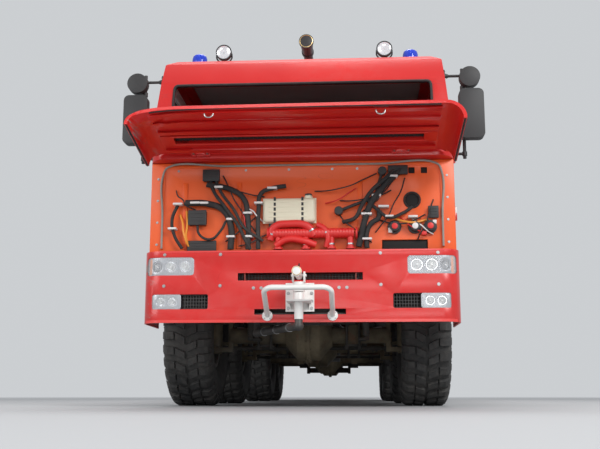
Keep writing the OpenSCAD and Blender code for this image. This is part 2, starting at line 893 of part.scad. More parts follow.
// Hoses on the wall, each [radius, places as [x, height]], and their clips as [x, height, width]
hose_s = front_wall_s - 42;
wall_hoses = [
  [26, [[-560, 1230], [-560, 1450], [-700, 1590], [-930, 1610]]],
  [22, [[-420, 1230], [-420, 1500], [-480, 1680], [-760, 1760]]],
  [18, [[-340, 1230], [-340, 1690], [-120, 1740]]],
  [20, [[520, 1230], [520, 1380], [620, 1450], [620, 1530]]]
];
wall_clips = [[-560, 1330, 62], [-420, 1380, 54], [-340, 1560, 46], [-860, 1604, 40],
  [-700, 1746, 40], [-220, 1724, 36], [520, 1290, 50]];
tank_x = [-300, 120];
tank_z = [1435, 1635];
tank_depth = 85;
cap_x = 60;
manifold_x = [-253, 432];
manifold_z = 1350;
manifold_r = 42;
branches = [-180, 40, 240, 390];
lever = [[650, 1850], [590, 1640], [300, 1530]];

// Places on the wall, from [x, height] pairs
function on_wall(pairs) = [for (p = pairs) [p[0], hose_s, p[1]]];

module wall_fittings() {
  color(black) placed() {
    for (h = wall_hoses) pipe(on_wall(h[1]), h[0]);
    for (c = wall_clips) {
      block([c[0] - c[2] / 2, c[0] + c[2] / 2], [hose_s - 30, front_wall_s], [c[1] - 12, c[1] + 12]);
    }
    pipe(on_wall(lever), 15);
    for (p = [lever[0], lever[2]]) bar_s(p[0], [hose_s - 24, front_wall_s], p[1], 34);
    block([-900, -760], [front_wall_s - 60, front_wall_s], [1430, 1545]);
    for (x = [740, 900, 1020]) {
      bar_s(x, [front_wall_s - 60, front_wall_s], 1400, 40);
      bar_s(x, [front_wall_s - 20, front_wall_s], 1400, 54);
    }
  }
  color(white) placed() {
    lengthwise([front_wall_s - tank_depth, front_wall_s]) rounded(tank_x, tank_z, 30);
    bar_z(cap_x, front_wall_s - tank_depth / 2, [tank_z[1], tank_z[1] + 12], 32);
    bar_z(cap_x, front_wall_s - tank_depth / 2, [tank_z[1] + 12, tank_z[1] + 36], 26);
  }
  color(red) placed() {
    bar_x(manifold_x, front_wall_s - 50, manifold_z, manifold_r);
    for (x = [manifold_x[0] - 14, manifold_x[1]])
      bar_x([x, x + 14], front_wall_s - 50, manifold_z, manifold_r + 6);
    for (x = branches) {
      bar_z(x, front_wall_s - 50, [1235, manifold_z], 24);
      bar_z(x, front_wall_s - 50, [1222, 1236], 38);
      block([x - 16, x + 16], [front_wall_s - 50, front_wall_s], [manifold_z - 20, manifold_z + 20]);
    }
  }
}

dash_z = [1890, 2030];

dash_depth = 300;
dash_side = 40;
cowl_x = [400, 900];
tunnel_x = 420;
tunnel_end = 1900;
tunnel_z = 1640;
column_x = 700;
column_len = 190;
wheel_r = 225;

module dashboard() {
  color([0.12, 0.12, 0.13]) placed() {
    across(2 * (cab_x - wall - dash_side)) polygon([
      [room_s0, dash_z[0]], [room_s0, dash_z[1]], [room_s0 + dash_depth - 110, dash_z[1]],
      [room_s0 + dash_depth, dash_z[1] - 70], [room_s0 + dash_depth - 30, dash_z[0]]
    ]);
    translate([(cowl_x[0] + cowl_x[1]) / 2, 0, 0]) across(cowl_x[1] - cowl_x[0]) polygon([
      [room_s0 + 60, dash_z[1] - 1], [room_s0 + 90, dash_z[1] + 60],
      [room_s0 + dash_depth + 30, dash_z[1] + 60], [room_s0 + dash_depth - 100, dash_z[1] - 1]
    ]);
    across(2 * tunnel_x) polygon([
      [room_s0, floor_z + floor_t], [room_s0, tunnel_z], [tunnel_end - 60, tunnel_z],
      [tunnel_end, tunnel_z - 60], [tunnel_end, floor_z + floor_t]
    ]);
    translate([column_x, room_s0 + dash_depth, dash_z[0] + 30]) rotate([-40, 0, 0]) {
      cylinder(h = column_len, r = 28);
      translate([0, 0, column_len - 20]) rotate_extrude($fn = 48)
        translate([wheel_r, 0]) circle(16);
      for (a = [0, 120, 240]) rotate([0, 0, a])
        block([0, wheel_r - 3], [-16, 16], [column_len - 28, column_len - 12]);
    }
  }
}

seat_floor = floor_z + floor_t;
seat_x = 700;
seat_s = 1250;
seat_w = 480;
base_in = 60;
base_s = [-180, 180];
cushion_s = [-250, 240];
cushion_z = [280, 400];
back_t = 110;
back_z = 900;
back_lean = 70;
bench_in = 225;

// A seat on its base, with x and station of its middle
module seat(x, s, w) {
  translate([x, s, seat_floor]) {
    block([-w / 2 + base_in, w / 2 - base_in], base_s, [0, cushion_z[0]]);
    across(w) rounded(cushion_s, cushion_z, 45);
    across(w) polygon([
      [cushion_s[1] - 30, cushion_z[0] + 20], [cushion_s[1] - 30 + back_lean, back_z],
      [cushion_s[1] - 10 + back_lean, back_z + 25],
      [cushion_s[1] - 30 + back_lean + back_t * 0.7, back_z + 20],
      [cushion_s[1] - 30 + back_lean + back_t, back_z - 60],
      [cushion_s[1] - 30 + back_t, cushion_z[0] + 20]
    ]);
  }
}

module seats() {
  color([0.14, 0.14, 0.16]) placed() {
    both_sides() seat(seat_x, seat_s, seat_w);
    seat(0, cab_len - 450, 2 * (cab_x - bench_in));
  }
}

// Bumper

bumper_corner = 150;
bumper_side = 600;
bumper_x = cab_x + bumper_over;
lamp_x = [bumper_x - 409, bumper_x - 30];
lamp_z = [1008, 1150];
fog_x = [bumper_x - 311, bumper_x - 82];
fog_slot_x = [bumper_x - 523, bumper_x - 82];
fog_z = [745, 860];

module bumper_plan(inset) {
  translate([-(bumper_x - bumper_corner), inset])
    square([2 * (bumper_x - bumper_corner), bumper_side + inset]);
  translate([-(bumper_x - inset), bumper_corner])
    square([2 * (bumper_x - inset), bumper_side + 2 * inset - bumper_corner]);
  for (e = [-1, 1]) translate([e * (bumper_x - bumper_corner), bumper_corner])
    circle(bumper_corner - inset);
}

module bumper() {
  color(red) placed() {
    difference() {
      translate([0, 0, bumper_z0]) linear_extrude(bumper_z1 - bumper_z0) bumper_plan(0);
      translate([0, 0, bumper_z0 - 1]) linear_extrude(bumper_z1 - bumper_z0 - bumper_t + 1)
        bumper_plan(bumper_t);
      block([-(bumper_x - 90), bumper_x - 90], [80, bumper_side + 50], [1000, bumper_z1 + 1]);
      block([-483, 483], [-1, bumper_t + 1], [964, 1023]);
      block([-352, 352], [-1, bumper_t + 1], [700, 743]);
      both_sides() {
        lengthwise([-1, 140]) rounded(lamp_x, lamp_z, 25);
        lengthwise([-1, 60]) rounded(fog_slot_x, fog_z, 15);
      }
    }
  }
}

lamp_depth = 90;

// A lamp that fills a cut-out, its lens just behind the bumper's face
module lamp(x, z, r) {
  intersection() {
    lengthwise([0, 250])
      rounded([x[0] + seat_gap, x[1] - seat_gap], [z[0] + seat_gap, z[1] - seat_gap], r);
    translate([0, 0, bumper_z0]) linear_extrude(bumper_z1 - bumper_z0) difference() {
      bumper_plan(4);
      bumper_plan(lamp_depth);
    }
  }
}

// Bowls sunk in a lamp, at distances from its inner edge
module bowls(x, z, places, r) {
  for (p = places) translate([x[0] + p, -1, (z[0] + z[1]) / 2]) rotate([-90, 0, 0])
    cylinder(h = bowl_depth, r1 = r + 6, r2 = r / 2);
}

bowl_depth = 66;
lamp_bowls = [72, 186, 296];
fog_bowls = [70, 160];

module headlamps() {
  color([0.85, 0.87, 0.9]) placed() both_sides() {
    difference() {
      lamp(lamp_x, lamp_z, 25);
      bowls(lamp_x, lamp_z, lamp_bowls, 44);
    }
    difference() {
      lamp(fog_x, fog_z, 15);
      bowls(fog_x, fog_z, fog_bowls, 34);
    }
  }
}

// Mirrors on tubular arms at the upper front corners

mirror_s = 300;
mirror_x = cab_x + 105;
arm_low_z = 2030;
arm_high_z = 2700;

function cab_side_x(z) = z < belt_z ? cab_x : cab_x - lean * (z - belt_z) / (shoulder_z - belt_z);

module mirrors() {
  color(black) placed() both_sides() {
    bar_z(mirror_x, mirror_s, [arm_low_z - 40, arm_high_z + 60], 14);
    bar_x([cab_side_x(arm_low_z) + seat_gap, mirror_x], mirror_s, arm_low_z, 12);
    bar_x([cab_side_x(arm_high_z - 12) + seat_gap, mirror_x], mirror_s, arm_high_z, 12);
    translate([mirror_x + 60, 0, 0]) lengthwise([mirror_s - 95, mirror_s - 8])
      rounded([-100, 100], [2140, 2560], 45);
    bar_s(mirror_x + 55, [mirror_s - 80, mirror_s - 8], 2670, 85);
  }
}

module roof_lamps() {
  color([0.1, 0.25, 0.75]) placed() {
    both_sides() {
      bar_z(930, 620, [roof_z, roof_z + 30], 85);
      bar_z(930, 620, [roof_z + 30, roof_z + 135], 68);
      bar_z(700, 560, [roof_z, roof_z + 60], 14);
      bar_s(700, [500, 600], roof_z + 110, 70);
    }
  }
}

// Guard hoop of the bumper monitor, its shelf, pedestal and supply pipe

guard_len = sqrt(guard_reach * guard_reach + guard_rise * guard_rise);
guard_slope = atan(guard_rise / guard_reach);
guard_bend = 70;
pedestal_top = 850;

module guard_hoop() {
  translate([0, 0, guard_root_z]) rotate([-guard_slope, 0, 0]) {
    both_sides() {
      translate([guard_x, -(guard_len - guard_bend), 0]) rotate([-90, 0, 0])
        cylinder(h = guard_len - guard_bend - 12, r = guard_tube);
      translate([guard_x - guard_bend, -(guard_len - guard_bend), 0]) rotate([0, 0, -90])
        rotate_extrude(angle = 90) translate([guard_bend, 0]) circle(guard_tube);
    }
    bar_x([-(guard_x - guard_bend), guard_x - guard_bend], -guard_len, 0, guard_tube);
  }
  both_sides() bar_s(guard_x, [-14, 0], guard_root_z, 40);
}

module bumper_guard() {
  color(white) placed() {
    guard_hoop();
    block([-90, 90], [guard_s - 80, 0], [shelf_z, shelf_z + 12]);
    block([-110, 110], [-12, 0], [shelf_z - 60, shelf_z + 160]);
    bar_z(0, guard_s, [shelf_z + 12, pedestal_top], 42);
    bar_z(0, guard_s, [pedestal_top, pedestal_top + 30], 18);
    bar_z(0, guard_s, [supply_z + supply_up, shelf_z], 34);
  }
}

// Steps between the front wheels, and the guards over them

step_s = [axle_1 + 780, axle_1 + 1170];
step_z = [480, 800];
step_t = 30;
step_sheet = 12;
step_depth = 265;
step_side = 185;

module cab_steps() {
  color([0.13, 0.13, 0.13]) placed() both_sides() {
    for (z = step_z) block([cab_x - step_depth, cab_x], step_s, [z, z + step_t]);
    for (s = [step_s[0], step_s[1] - step_sheet])
      block([cab_x - step_side, cab_x], [s, s + step_sheet], [step_z[0], skirt_z]);
    block([cab_x - step_side, cab_x], step_s, [skirt_z - step_sheet, skirt_z]);
    for (s = steered) difference() {
      bar_x([620, cab_x - wall - 1], s, hub_z, arch_r + guard_sheet, $fn = arc_fn);
      bar_x([619, cab_x], s, hub_z, arch_r, $fn = arc_fn);
      block([600, cab_x], [s - arch_r - 150, s + arch_r + 150], [-200, guard_edge_z]);
    }
    for (s = steered) block([640, 700], [s - 30, s + 30], [hub_z + arch_r + 2, floor_z]);
  }
}

// Rear body

module body_outline(inset) {
  right = [
    [body_x - inset, body_skirt], [body_x - inset, body_top - body_chamfer],
    [body_x - body_chamfer - inset, body_top - inset]
  ];
  polygon(concat(right, [for (i = [2 : -1 : 0]) [-right[i][0], right[i][1]]]));
}

rear_hinge_z = bay_z[1] + 8;
lip_t = 12;
lip_w = 26;

module rear_body() {
  color(red) placed() {
    difference() {
      lengthwise([body_s0, body_s1]) body_outline(0);
      block([-(body_x - 60), body_x - 60], [body_s0 - 1, body_s1 + 1],
        [body_skirt - 1, body_floor]);
      both_sides() {
        for (s = driven_rear) bar_x([480, body_x + 10], s, hub_z, body_arch_r, $fn = arc_fn);
        for (p = shutter_s) block([body_x - shutter_depth, body_x + 1],
          [body_s0 + p[0], body_s0 + p[1]], shutter_z);
      }
      block([-bay_x, bay_x], [bay_s0, body_s1 + 1], bay_z);
    }
    both_sides() for (s = driven_rear) difference() {
      bar_x([body_x - 1, body_x + lip_t], s, hub_z, body_arch_r + lip_w);
      bar_x([body_x - 2, body_x + lip_t + 1], s, hub_z, body_arch_r + 2);
      block([body_x - 3, body_x + lip_t + 2], [s - 2 * body_arch_r, s + 2 * body_arch_r],
        [-body_arch_r, body_skirt]);
    }
    for (x = [-500, 500]) {
      block([x - 25, x + 25], [body_s1, body_s1 + 8], [rear_hinge_z - 10, rear_hinge_z + 60]);
      bar_x([x - 25, x + 25], body_s1 + 14, rear_hinge_z, 14);
      bar_x([x - 70, x + 70], body_s1 + 14, rear_hinge_z, 8);
    }
  }
}

slat_pitch = 74;

// Roller shutters of interlocking slats, seated in the body's recesses
module shutters() {
  color([0.75, 0.76, 0.78]) placed() both_sides() {
    for (p = shutter_s) {
      block([body_x - shutter_depth, body_x - shutter_depth + 14],
        [body_s0 + p[0], body_s0 + p[1]], shutter_z);
      for (z = [shutter_z[0] + 20 : slat_pitch : shutter_z[1] - slat_pitch]) {
        block([body_x - shutter_depth + 14, body_x - shutter_depth + 22],
          [body_s0 + p[0] + 20, body_s0 + p[1] - 20], [z, z + slat_pitch - 14]);
      }
      block([body_x - shutter_depth + 14, body_x - shutter_depth + 44],
        [body_s0 + p[0] + 60, body_s0 + p[1] - 60], [shutter_z[0] + 34, shutter_z[0] + 54]);
    }
  }
}

rail_post = 90;
hatch_x = 420;
hatch_len = 800;
hatch_h = 60;
filler_x = 300;
filler_r = 120;
plinth_x = 480;
plinth_len = 840;

module roof_fittings() {
  color([0.2, 0.2, 0.21]) placed() {
    both_sides() {
      bar_s(body_x - 190, [body_s0 + 200, body_s1 - 200], body_top + rail_post, 20);
      for (s = [body_s0 + 260 : 900 : body_s1 - 250])
        bar_z(body_x - 190, s, [body_top, body_top + rail_post], 16);
    }
    for (s = [body_s0 + 500, body_s0 + 2600])
      translate([0, s + hatch_len / 2, 0]) {
        translate([0, 0, body_top]) linear_extrude(hatch_h)
          rounded([-hatch_x, hatch_x], [-hatch_len / 2, hatch_len / 2], 60);
        bar_z(0, hatch_len / 2 - 140, [body_top + hatch_h, body_top + hatch_h + 20], 60);
      }
    both_sides() bar_z(filler_x, body_s1 - 1800, [body_top, body_top + 90], filler_r);
    translate([0, monitor_s, roof_z]) linear_extrude(plinth_h)
      rounded([-plinth_x, plinth_x], [-plinth_len / 2, plinth_len / 2], 70);
    bar_z(0, monitor_s, [roof_z + plinth_h, roof_z + 60], 170);
    bar_z(0, monitor_s, [roof_z + 60, turret_z[0] - 6], 80);
    bar_z(0, monitor_s, [roof_z + 60, turret_z[0] + swivel_h], swivel_r);
  }
}

// Pump with its outlets in the bay behind the rear door

outlet_x = [-480, -240, 240, 480];
outlet_z = 1900;
outlet_len = 170;
gauge_z = 2180;
gear_x = 560;
gear_len = 420;
pump_x = 430;
pump_r = 210;
pump_s = 560;
panel_x = 620;
panel_z = [1700, 2350];
panel_t = 160;

module pump_unit() {
  color(olive) placed() {
    block([-gear_x, gear_x], [bay_s0, bay_s0 + gear_len], [bay_z[0], panel_z[0]]);
    bar_x([-pump_x, pump_x], bay_s0 + pump_s, bay_z[0] + pump_r + 20, pump_r);
    for (x = [-pump_x - 24, pump_x])
      bar_x([x, x + 24], bay_s0 + pump_s, bay_z[0] + pump_r + 20, pump_r + 15);
    block([-pump_x + 130, pump_x - 130], [bay_s0 + pump_s - 180, bay_s0 + pump_s + 180],
      [bay_z[0], bay_z[0] + 60]);
    block([-panel_x, panel_x], [bay_s0, bay_s0 + panel_t], panel_z);
    for (x = outlet_x) {
      bar_s(x, [bay_s0 + panel_t, bay_s0 + panel_t + outlet_len], outlet_z, 45);
      bar_s(x, [bay_s0 + panel_t + outlet_len - 40, bay_s0 + panel_t + outlet_len], outlet_z, 60);
      bar_s(x, [bay_s0 + panel_t, bay_s0 + panel_t + 30], gauge_z, 55);
    }
  }
}

ladder_x = [940, 1200];

module rear_bumper() {
  color([0.16, 0.16, 0.17]) placed() {
    block([-1200, 1200], [body_s1 - 60, body_s1 + 120], [760, 880]);
    both_sides() {
      block([rail_x - rail_flange, rail_x], [rail_end - 60, body_s1 - 60], [800, rail_bottom]);
      block([900, 1180], [body_s1 + 20, body_s1 + 90], [900, 1040]);
      block([860, 1220], [body_s1 - 30, body_s1 + 20], [880, body_skirt]);
    }
    for (x = ladder_x) bar_z(x, body_s1 + 70, [1300, body_top - 60], 16);
    for (z = [1400 : 280 : 2750]) bar_x(ladder_x, body_s1 + 70, z, 13);
    for (x = ladder_x, z = [1340, 2700]) bar_s(x, [body_s1, body_s1 + 70], z, 12);
  }
}

// Front panel, drawn shut and turned up about its hinge

module hood_plan(inset) {
  translate([-(cab_x - corner_r), hood_s0 + inset])
    square([2 * (cab_x - corner_r), hood_back - hood_s0]);
  translate([-(cab_x - inset), hood_s0 + corner_r])
    square([2 * (cab_x - inset), hood_back - hood_s0 - corner_r + inset]);
  for (e = [-1, 1]) intersection() {
    translate([e * (cab_x - corner_r), hood_s0 + corner_r]) circle(corner_r - inset);
    translate([-cab_x, 0]) square([cab_w, hood_back]);
  }
}

hood_ribs_z = [1250, 1400, 1560, 1880];
slot_z = [1640, 1800];
hood_rib_x = cab_x - corner_r - 25;

module hood_shut() {
  difference() {
    intersection() {
      translate([0, 0, hood_bottom]) linear_extrude(hood_top - hood_bottom) hood_plan(0);
      block([-cab_x, cab_x], [0, hood_back], [hood_bottom, hood_top]);
    }
    difference() {
      translate([0, 0, hood_bottom - 1]) linear_extrude(hood_top) hood_plan(hood_t);
      for (z = hood_ribs_z) block([-hood_rib_x, hood_rib_x], [0, hood_s0 + hood_t + 18], [z, z + 50]);
      block([-hood_rib_x, hood_rib_x], [0, hood_s0 + hood_t + 12], slot_z);
    }
    block([100 - hood_rib_x, hood_rib_x - 100], [hood_s0 + 8, hood_back + 1], [slot_z[0] + 30, slot_z[1] - 30]);
    block([-cab_x - 1, cab_x + 1], [50, hood_back + 1], [hood_side_top, hood_top + 1]);
    for (x = hood_hinges) {
      block([x - 38, x + 38], [hood_s0 - 1, 60], [hood_hinge_z - 30, hood_top + 1]);
    }
  }
  for (x = hood_hinges, e = [-1, 1]) difference() {
    union() {
      block([x + e * 55 - 15, x + e * 55 + 15], [hood_s0 + hood_t - 1, hood_hinge_s],
        [hood_hinge_z - 50, hood_hinge_z]);
      bar_x([x + e * 55 - 15, x + e * 55 + 15], hood_hinge_s, hood_hinge_z, hinge_r - 1);
    }
    bar_x([x - 90, x + 90], hood_hinge_s, hood_hinge_z, hinge_pin_r + 0.4);
  }
}

module hood_panel() {
  color(red) placed()
    translate([0, hood_hinge_s, hood_hinge_z]) rotate([-hood_open, 0, 0])
      translate([0, -hood_hinge_s, -hood_hinge_z]) hood_shut();
}

module rear_door() {
  color(red) placed() {
    block([-(bay_x - door_gap), bay_x - door_gap], [body_s1 - rear_door_t, body_s1],
      [bay_z[0] + door_gap, bay_z[1] - door_gap]);
    block([-60, 60], [body_s1, body_s1 + 30], [bay_z[0] + 60, bay_z[0] + 84]);
    for (x = [-500, 500], e = [-1, 1]) difference() {
      union() {
        block([x + e * 50 - 15, x + e * 50 + 15], [body_s1 - 1, body_s1 + 14],
          [rear_hinge_z - 80, bay_z[1] - door_gap]);
        block([x + e * 50 - 15, x + e * 50 + 15], [body_s1 + 3, body_s1 + 14],
          [rear_hinge_z - 40, rear_hinge_z]);
        bar_x([x + e * 50 - 15, x + e * 50 + 15], body_s1 + 14, rear_hinge_z, 14);
      }
      bar_x([x - 90, x + 90], body_s1 + 14, rear_hinge_z, 8.4);
    }
  }
}

// Roof monitor

turret_z = [roof_z + 186, monitor_pivot_z - 80];
cheek_x = 70;
turret_pin_r = 16;
swivel_r = 40;
swivel_h = 40;

module monitor_turret() {
  color(black) placed() {
    difference() {
      bar_z(0, monitor_s, turret_z, 100);
      bar_z(0, monitor_s, [turret_z[0] - 1, turret_z[0] + swivel_h + 6], swivel_r + pin_gap);
    }
    both_sides() difference() {
      union() {
        block([cheek_x, cheek_x + 25], [monitor_s - 60, monitor_s + 60],
          [turret_z[1] - 1, monitor_pivot_z]);
        bar_x([cheek_x, cheek_x + 25], monitor_s, monitor_pivot_z, 60);
      }
      bar_x([cheek_x - 1, cheek_x + 26], monitor_s, monitor_pivot_z, turret_pin_r + 0.4);
    }
  }
}

module monitor_barrel() {
  color(black) placed() translate([0, monitor_s, monitor_pivot_z]) {
    bar_x([-110, 110], 0, 0, turret_pin_r);
    bar_x([-60, 60], 0, 0, 48);
    bar_s(0, [-barrel_len + 260, 40], 0, 44);
    translate([0, -barrel_len, 0]) rotate([-90, 0, 0]) cylinder(h = 260, r1 = 62, r2 = 50);
    block([-150, 150], [-420, -390], [-70, 70]);
  }
}

// Bumper monitor

bumper_turret_z = [pedestal_top + 6, nozzle_pivot_z - 50];

module bumper_turret() {
  color(white) placed() {
    difference() {
      bar_z(0, guard_s, bumper_turret_z, 45);
      bar_z(0, guard_s, [bumper_turret_z[0] - 1, pedestal_top + 36], 18 + pin_gap);
    }
    both_sides() difference() {
      union() {
        block([36, 50], [guard_s - 30, guard_s + 30], [bumper_turret_z[1] - 1, nozzle_pivot_z]);
        bar_x([36, 50], guard_s, nozzle_pivot_z, 30);
      }
      bar_x([35, 51], guard_s, nozzle_pivot_z, 10.4);
    }
  }
}

module bumper_nozzle() {
  color(white) placed() translate([0, guard_s, nozzle_pivot_z]) {
    bar_x([-58, 58], 0, 0, 10);
    bar_s(0, [-nozzle_len, 30], 0, 28);
    bar_s(0, [-nozzle_len, -nozzle_len + 70], 0, 36);
  }
}

frame_rails();
axle_housings();
leaf_springs();
tie_rod(axle_1);  // tie_rod_1
tie_rod(axle_2);  // tie_rod_2
engine_block();
driveline();
radiator_guard();
side_lockers();
intake_mast();
cab_shell();
cab_front_wall();
wall_fittings();
dashboard();
seats();
bumper();
headlamps();
mirrors();
roof_lamps();
bumper_guard();
cab_steps();
rear_body();
shutters();
roof_fittings();
rear_bumper();
pump_unit();
hood_panel();
door_front_left();
door_front_right();
door_crew_left();
door_crew_right();
glass_front_left();
glass_front_right();
glass_crew_left();
glass_crew_right();
rear_door();
monitor_turret();
monitor_barrel();
bumper_turret();
bumper_nozzle();
knuckle(axle_1, 1);  // knuckle_1_left
knuckle(axle_1, -1);  // knuckle_1_right
knuckle(axle_2, 1);  // knuckle_2_left
knuckle(axle_2, -1);  // knuckle_2_right
tyre(axle_1, 1);  // tyre_1_left
tyre(axle_1, -1);  // tyre_1_right
tyre(axle_2, 1);  // tyre_2_left
tyre(axle_2, -1);  // tyre_2_right
tyre(axle_3, 1);  // tyre_3_left
tyre(axle_3, -1);  // tyre_3_right
tyre(axle_4, 1);  // tyre_4_left
tyre(axle_4, -1);  // tyre_4_right
rim(axle_1, 1);  // rim_1_left
rim(axle_1, -1);  // rim_1_right
rim(axle_2, 1);  // rim_2_left
rim(axle_2, -1);  // rim_2_right
rim(axle_3, 1);  // rim_3_left
rim(axle_3, -1);  // rim_3_right
rim(axle_4, 1);  // rim_4_left
rim(axle_4, -1);  // rim_4_right
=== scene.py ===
# %% [markdown]
# # Dressing an airport fire truck
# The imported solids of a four-axle airport fire truck are loaded as a fixed
# frame. Each cell then adds one finish or one family of pieces to them. The
# truck stands on its wheels, its front panel raised, as after a pump check.

# %% Load the frame
import json
import math
import random

import bmesh
import bpy
from mathutils import Matrix, Vector

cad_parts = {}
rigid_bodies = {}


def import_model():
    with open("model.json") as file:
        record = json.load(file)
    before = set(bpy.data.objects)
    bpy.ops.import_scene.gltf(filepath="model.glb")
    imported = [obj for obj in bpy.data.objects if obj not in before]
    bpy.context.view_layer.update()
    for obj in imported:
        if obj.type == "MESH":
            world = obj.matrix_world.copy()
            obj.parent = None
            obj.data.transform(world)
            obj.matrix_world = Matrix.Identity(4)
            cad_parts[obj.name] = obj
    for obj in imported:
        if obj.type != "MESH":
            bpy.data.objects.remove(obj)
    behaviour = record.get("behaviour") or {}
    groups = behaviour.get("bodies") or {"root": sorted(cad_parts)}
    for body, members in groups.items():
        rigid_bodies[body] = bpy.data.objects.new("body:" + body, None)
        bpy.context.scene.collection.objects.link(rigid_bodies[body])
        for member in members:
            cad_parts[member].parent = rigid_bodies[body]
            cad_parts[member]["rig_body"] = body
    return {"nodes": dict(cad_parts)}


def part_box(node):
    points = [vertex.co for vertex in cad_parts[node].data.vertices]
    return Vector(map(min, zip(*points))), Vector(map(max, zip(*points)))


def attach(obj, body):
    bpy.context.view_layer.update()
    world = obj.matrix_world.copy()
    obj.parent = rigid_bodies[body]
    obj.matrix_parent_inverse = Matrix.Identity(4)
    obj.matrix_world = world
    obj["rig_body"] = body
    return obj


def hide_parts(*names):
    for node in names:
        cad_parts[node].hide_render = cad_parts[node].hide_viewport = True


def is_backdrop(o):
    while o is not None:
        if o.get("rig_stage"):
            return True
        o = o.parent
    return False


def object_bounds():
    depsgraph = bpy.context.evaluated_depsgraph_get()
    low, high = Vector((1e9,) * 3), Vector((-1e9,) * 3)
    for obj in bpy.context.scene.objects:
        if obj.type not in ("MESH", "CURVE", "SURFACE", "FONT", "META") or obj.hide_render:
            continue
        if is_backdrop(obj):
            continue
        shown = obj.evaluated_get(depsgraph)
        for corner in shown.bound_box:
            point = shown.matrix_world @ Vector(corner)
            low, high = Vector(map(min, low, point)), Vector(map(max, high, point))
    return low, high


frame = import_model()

nodes = frame["nodes"]
cad_box = [list(corner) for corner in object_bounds()]
BUMPER_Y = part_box("bumper")[0].y
FRONT = cad_box[0][1]
print("truck box, metres:", [[round(c, 3) for c in corner] for corner in cad_box])

# %% [markdown]
# Every length along the truck is a station: a distance behind the face of the
# bumper, as on the drawing of the real vehicle. `at` turns a place given as
# (x, station, height) in metres into a point of the scene.

# %% Places on the truck
AXLES = [1.380, 3.320, 6.620, 8.060]
HUB_Z, WHEEL_X = 0.630, 1.025
CAB_X, BODY_X = 1.225, 1.250
SIDES = (("left", 1), ("right", -1))
ACROSS, ALONG, UP = (1, 0, 0), (0, 1, 0), (0, 0, 1)
AHEAD, DOWN = (0, -1, 0), (0, 0, -1)


def at(x, s, z):
    """A place across the truck, at a station and a height."""
    return Vector((x, s + BUMPER_Y, z))


def linked(name, data):
    """A new object in the scene."""
    obj = bpy.data.objects.new(name, data)
    bpy.context.scene.collection.objects.link(obj)
    return obj


# %% [markdown]
# ## Camera
# The photograph was taken from close in front, a little to the truck's left,
# and looks up at it. On a floor the lowest such view is from just above the
# ground, so the camera sits there and looks up at the raised panel.

# %% Camera
EYE, LOOK_AT = at(0.42, -6.75, 0.10), at(0.0, 0.0, 1.40)
LENS_MM = 53
BACKDROP = 200


def aim(obj, target):
    """Turns a camera or a lamp to look at a place."""
    direction = Vector(target) - obj.location
    obj.rotation_euler = direction.to_track_quat("-Z", "Y").to_euler()


camera = linked("camera", bpy.data.cameras.new("camera"))
camera.location = EYE
camera.data.lens = LENS_MM
camera.data.clip_end = BACKDROP
aim(camera, LOOK_AT)
bpy.context.scene.camera = camera

# %% [markdown]
# ## Shader maths
# A finish is a handful of masks: noise, height, distance. `Wire` holds one
# output socket and lets Python's own operators add the Math nodes, so that a
# mask reads like a formula. `Finish` makes a material and its nodes.

# %% Wires and finishes
class Wire:
    """One output of a shader or geometry node, with arithmetic."""

    def __init__(self, finish, socket):
        self.finish, self.socket = finish, socket

    def _math(self, operation, *values):
        return self.finish.add("ShaderNodeMath", {"operation": operation},
                               dict(enumerate(values)))

    def __add__(self, other):
        return self._math("ADD", self, other)

    __radd__ = __add__

    def __sub__(self, other):
        return self._math("SUBTRACT", self, other)

    def __rsub__(self, other):
        return self._math("SUBTRACT", other, self)

    def __mul__(self, other):
        return self._math("MULTIPLY", self, other)

    __rmul__ = __mul__

    def __truediv__(self, other):
        return self._math("DIVIDE", self, other)

    def __pow__(self, power):
        return self._math("POWER", self, power)

    def over(self, edge):
        return self._math("GREATER_THAN", self, edge)

    def under(self, edge):
        return self._math("LESS_THAN", self, edge)

    def ramp(self, low, high, start=0.0, end=1.0):
        """Start at low, end at high, straight between and level outside."""
        return self.finish.add(
            "ShaderNodeMapRange", {"clamp": True},
            {"Value": self, "From Min": low, "From Max": high, "To Min": start, "To Max": end})

    def between(self, low, high):
        return self.over(low) * self.under(high)

    def most(self, other):
        """The larger of the two."""
        return self._math("MAXIMUM", self, other)

    def size(self):
        """The value without its sign."""
        return self._math("ABSOLUTE", self)

    def wave(self):
        """The size of a sine, from 0 to 1."""
        return self._math("SINE", self).size()


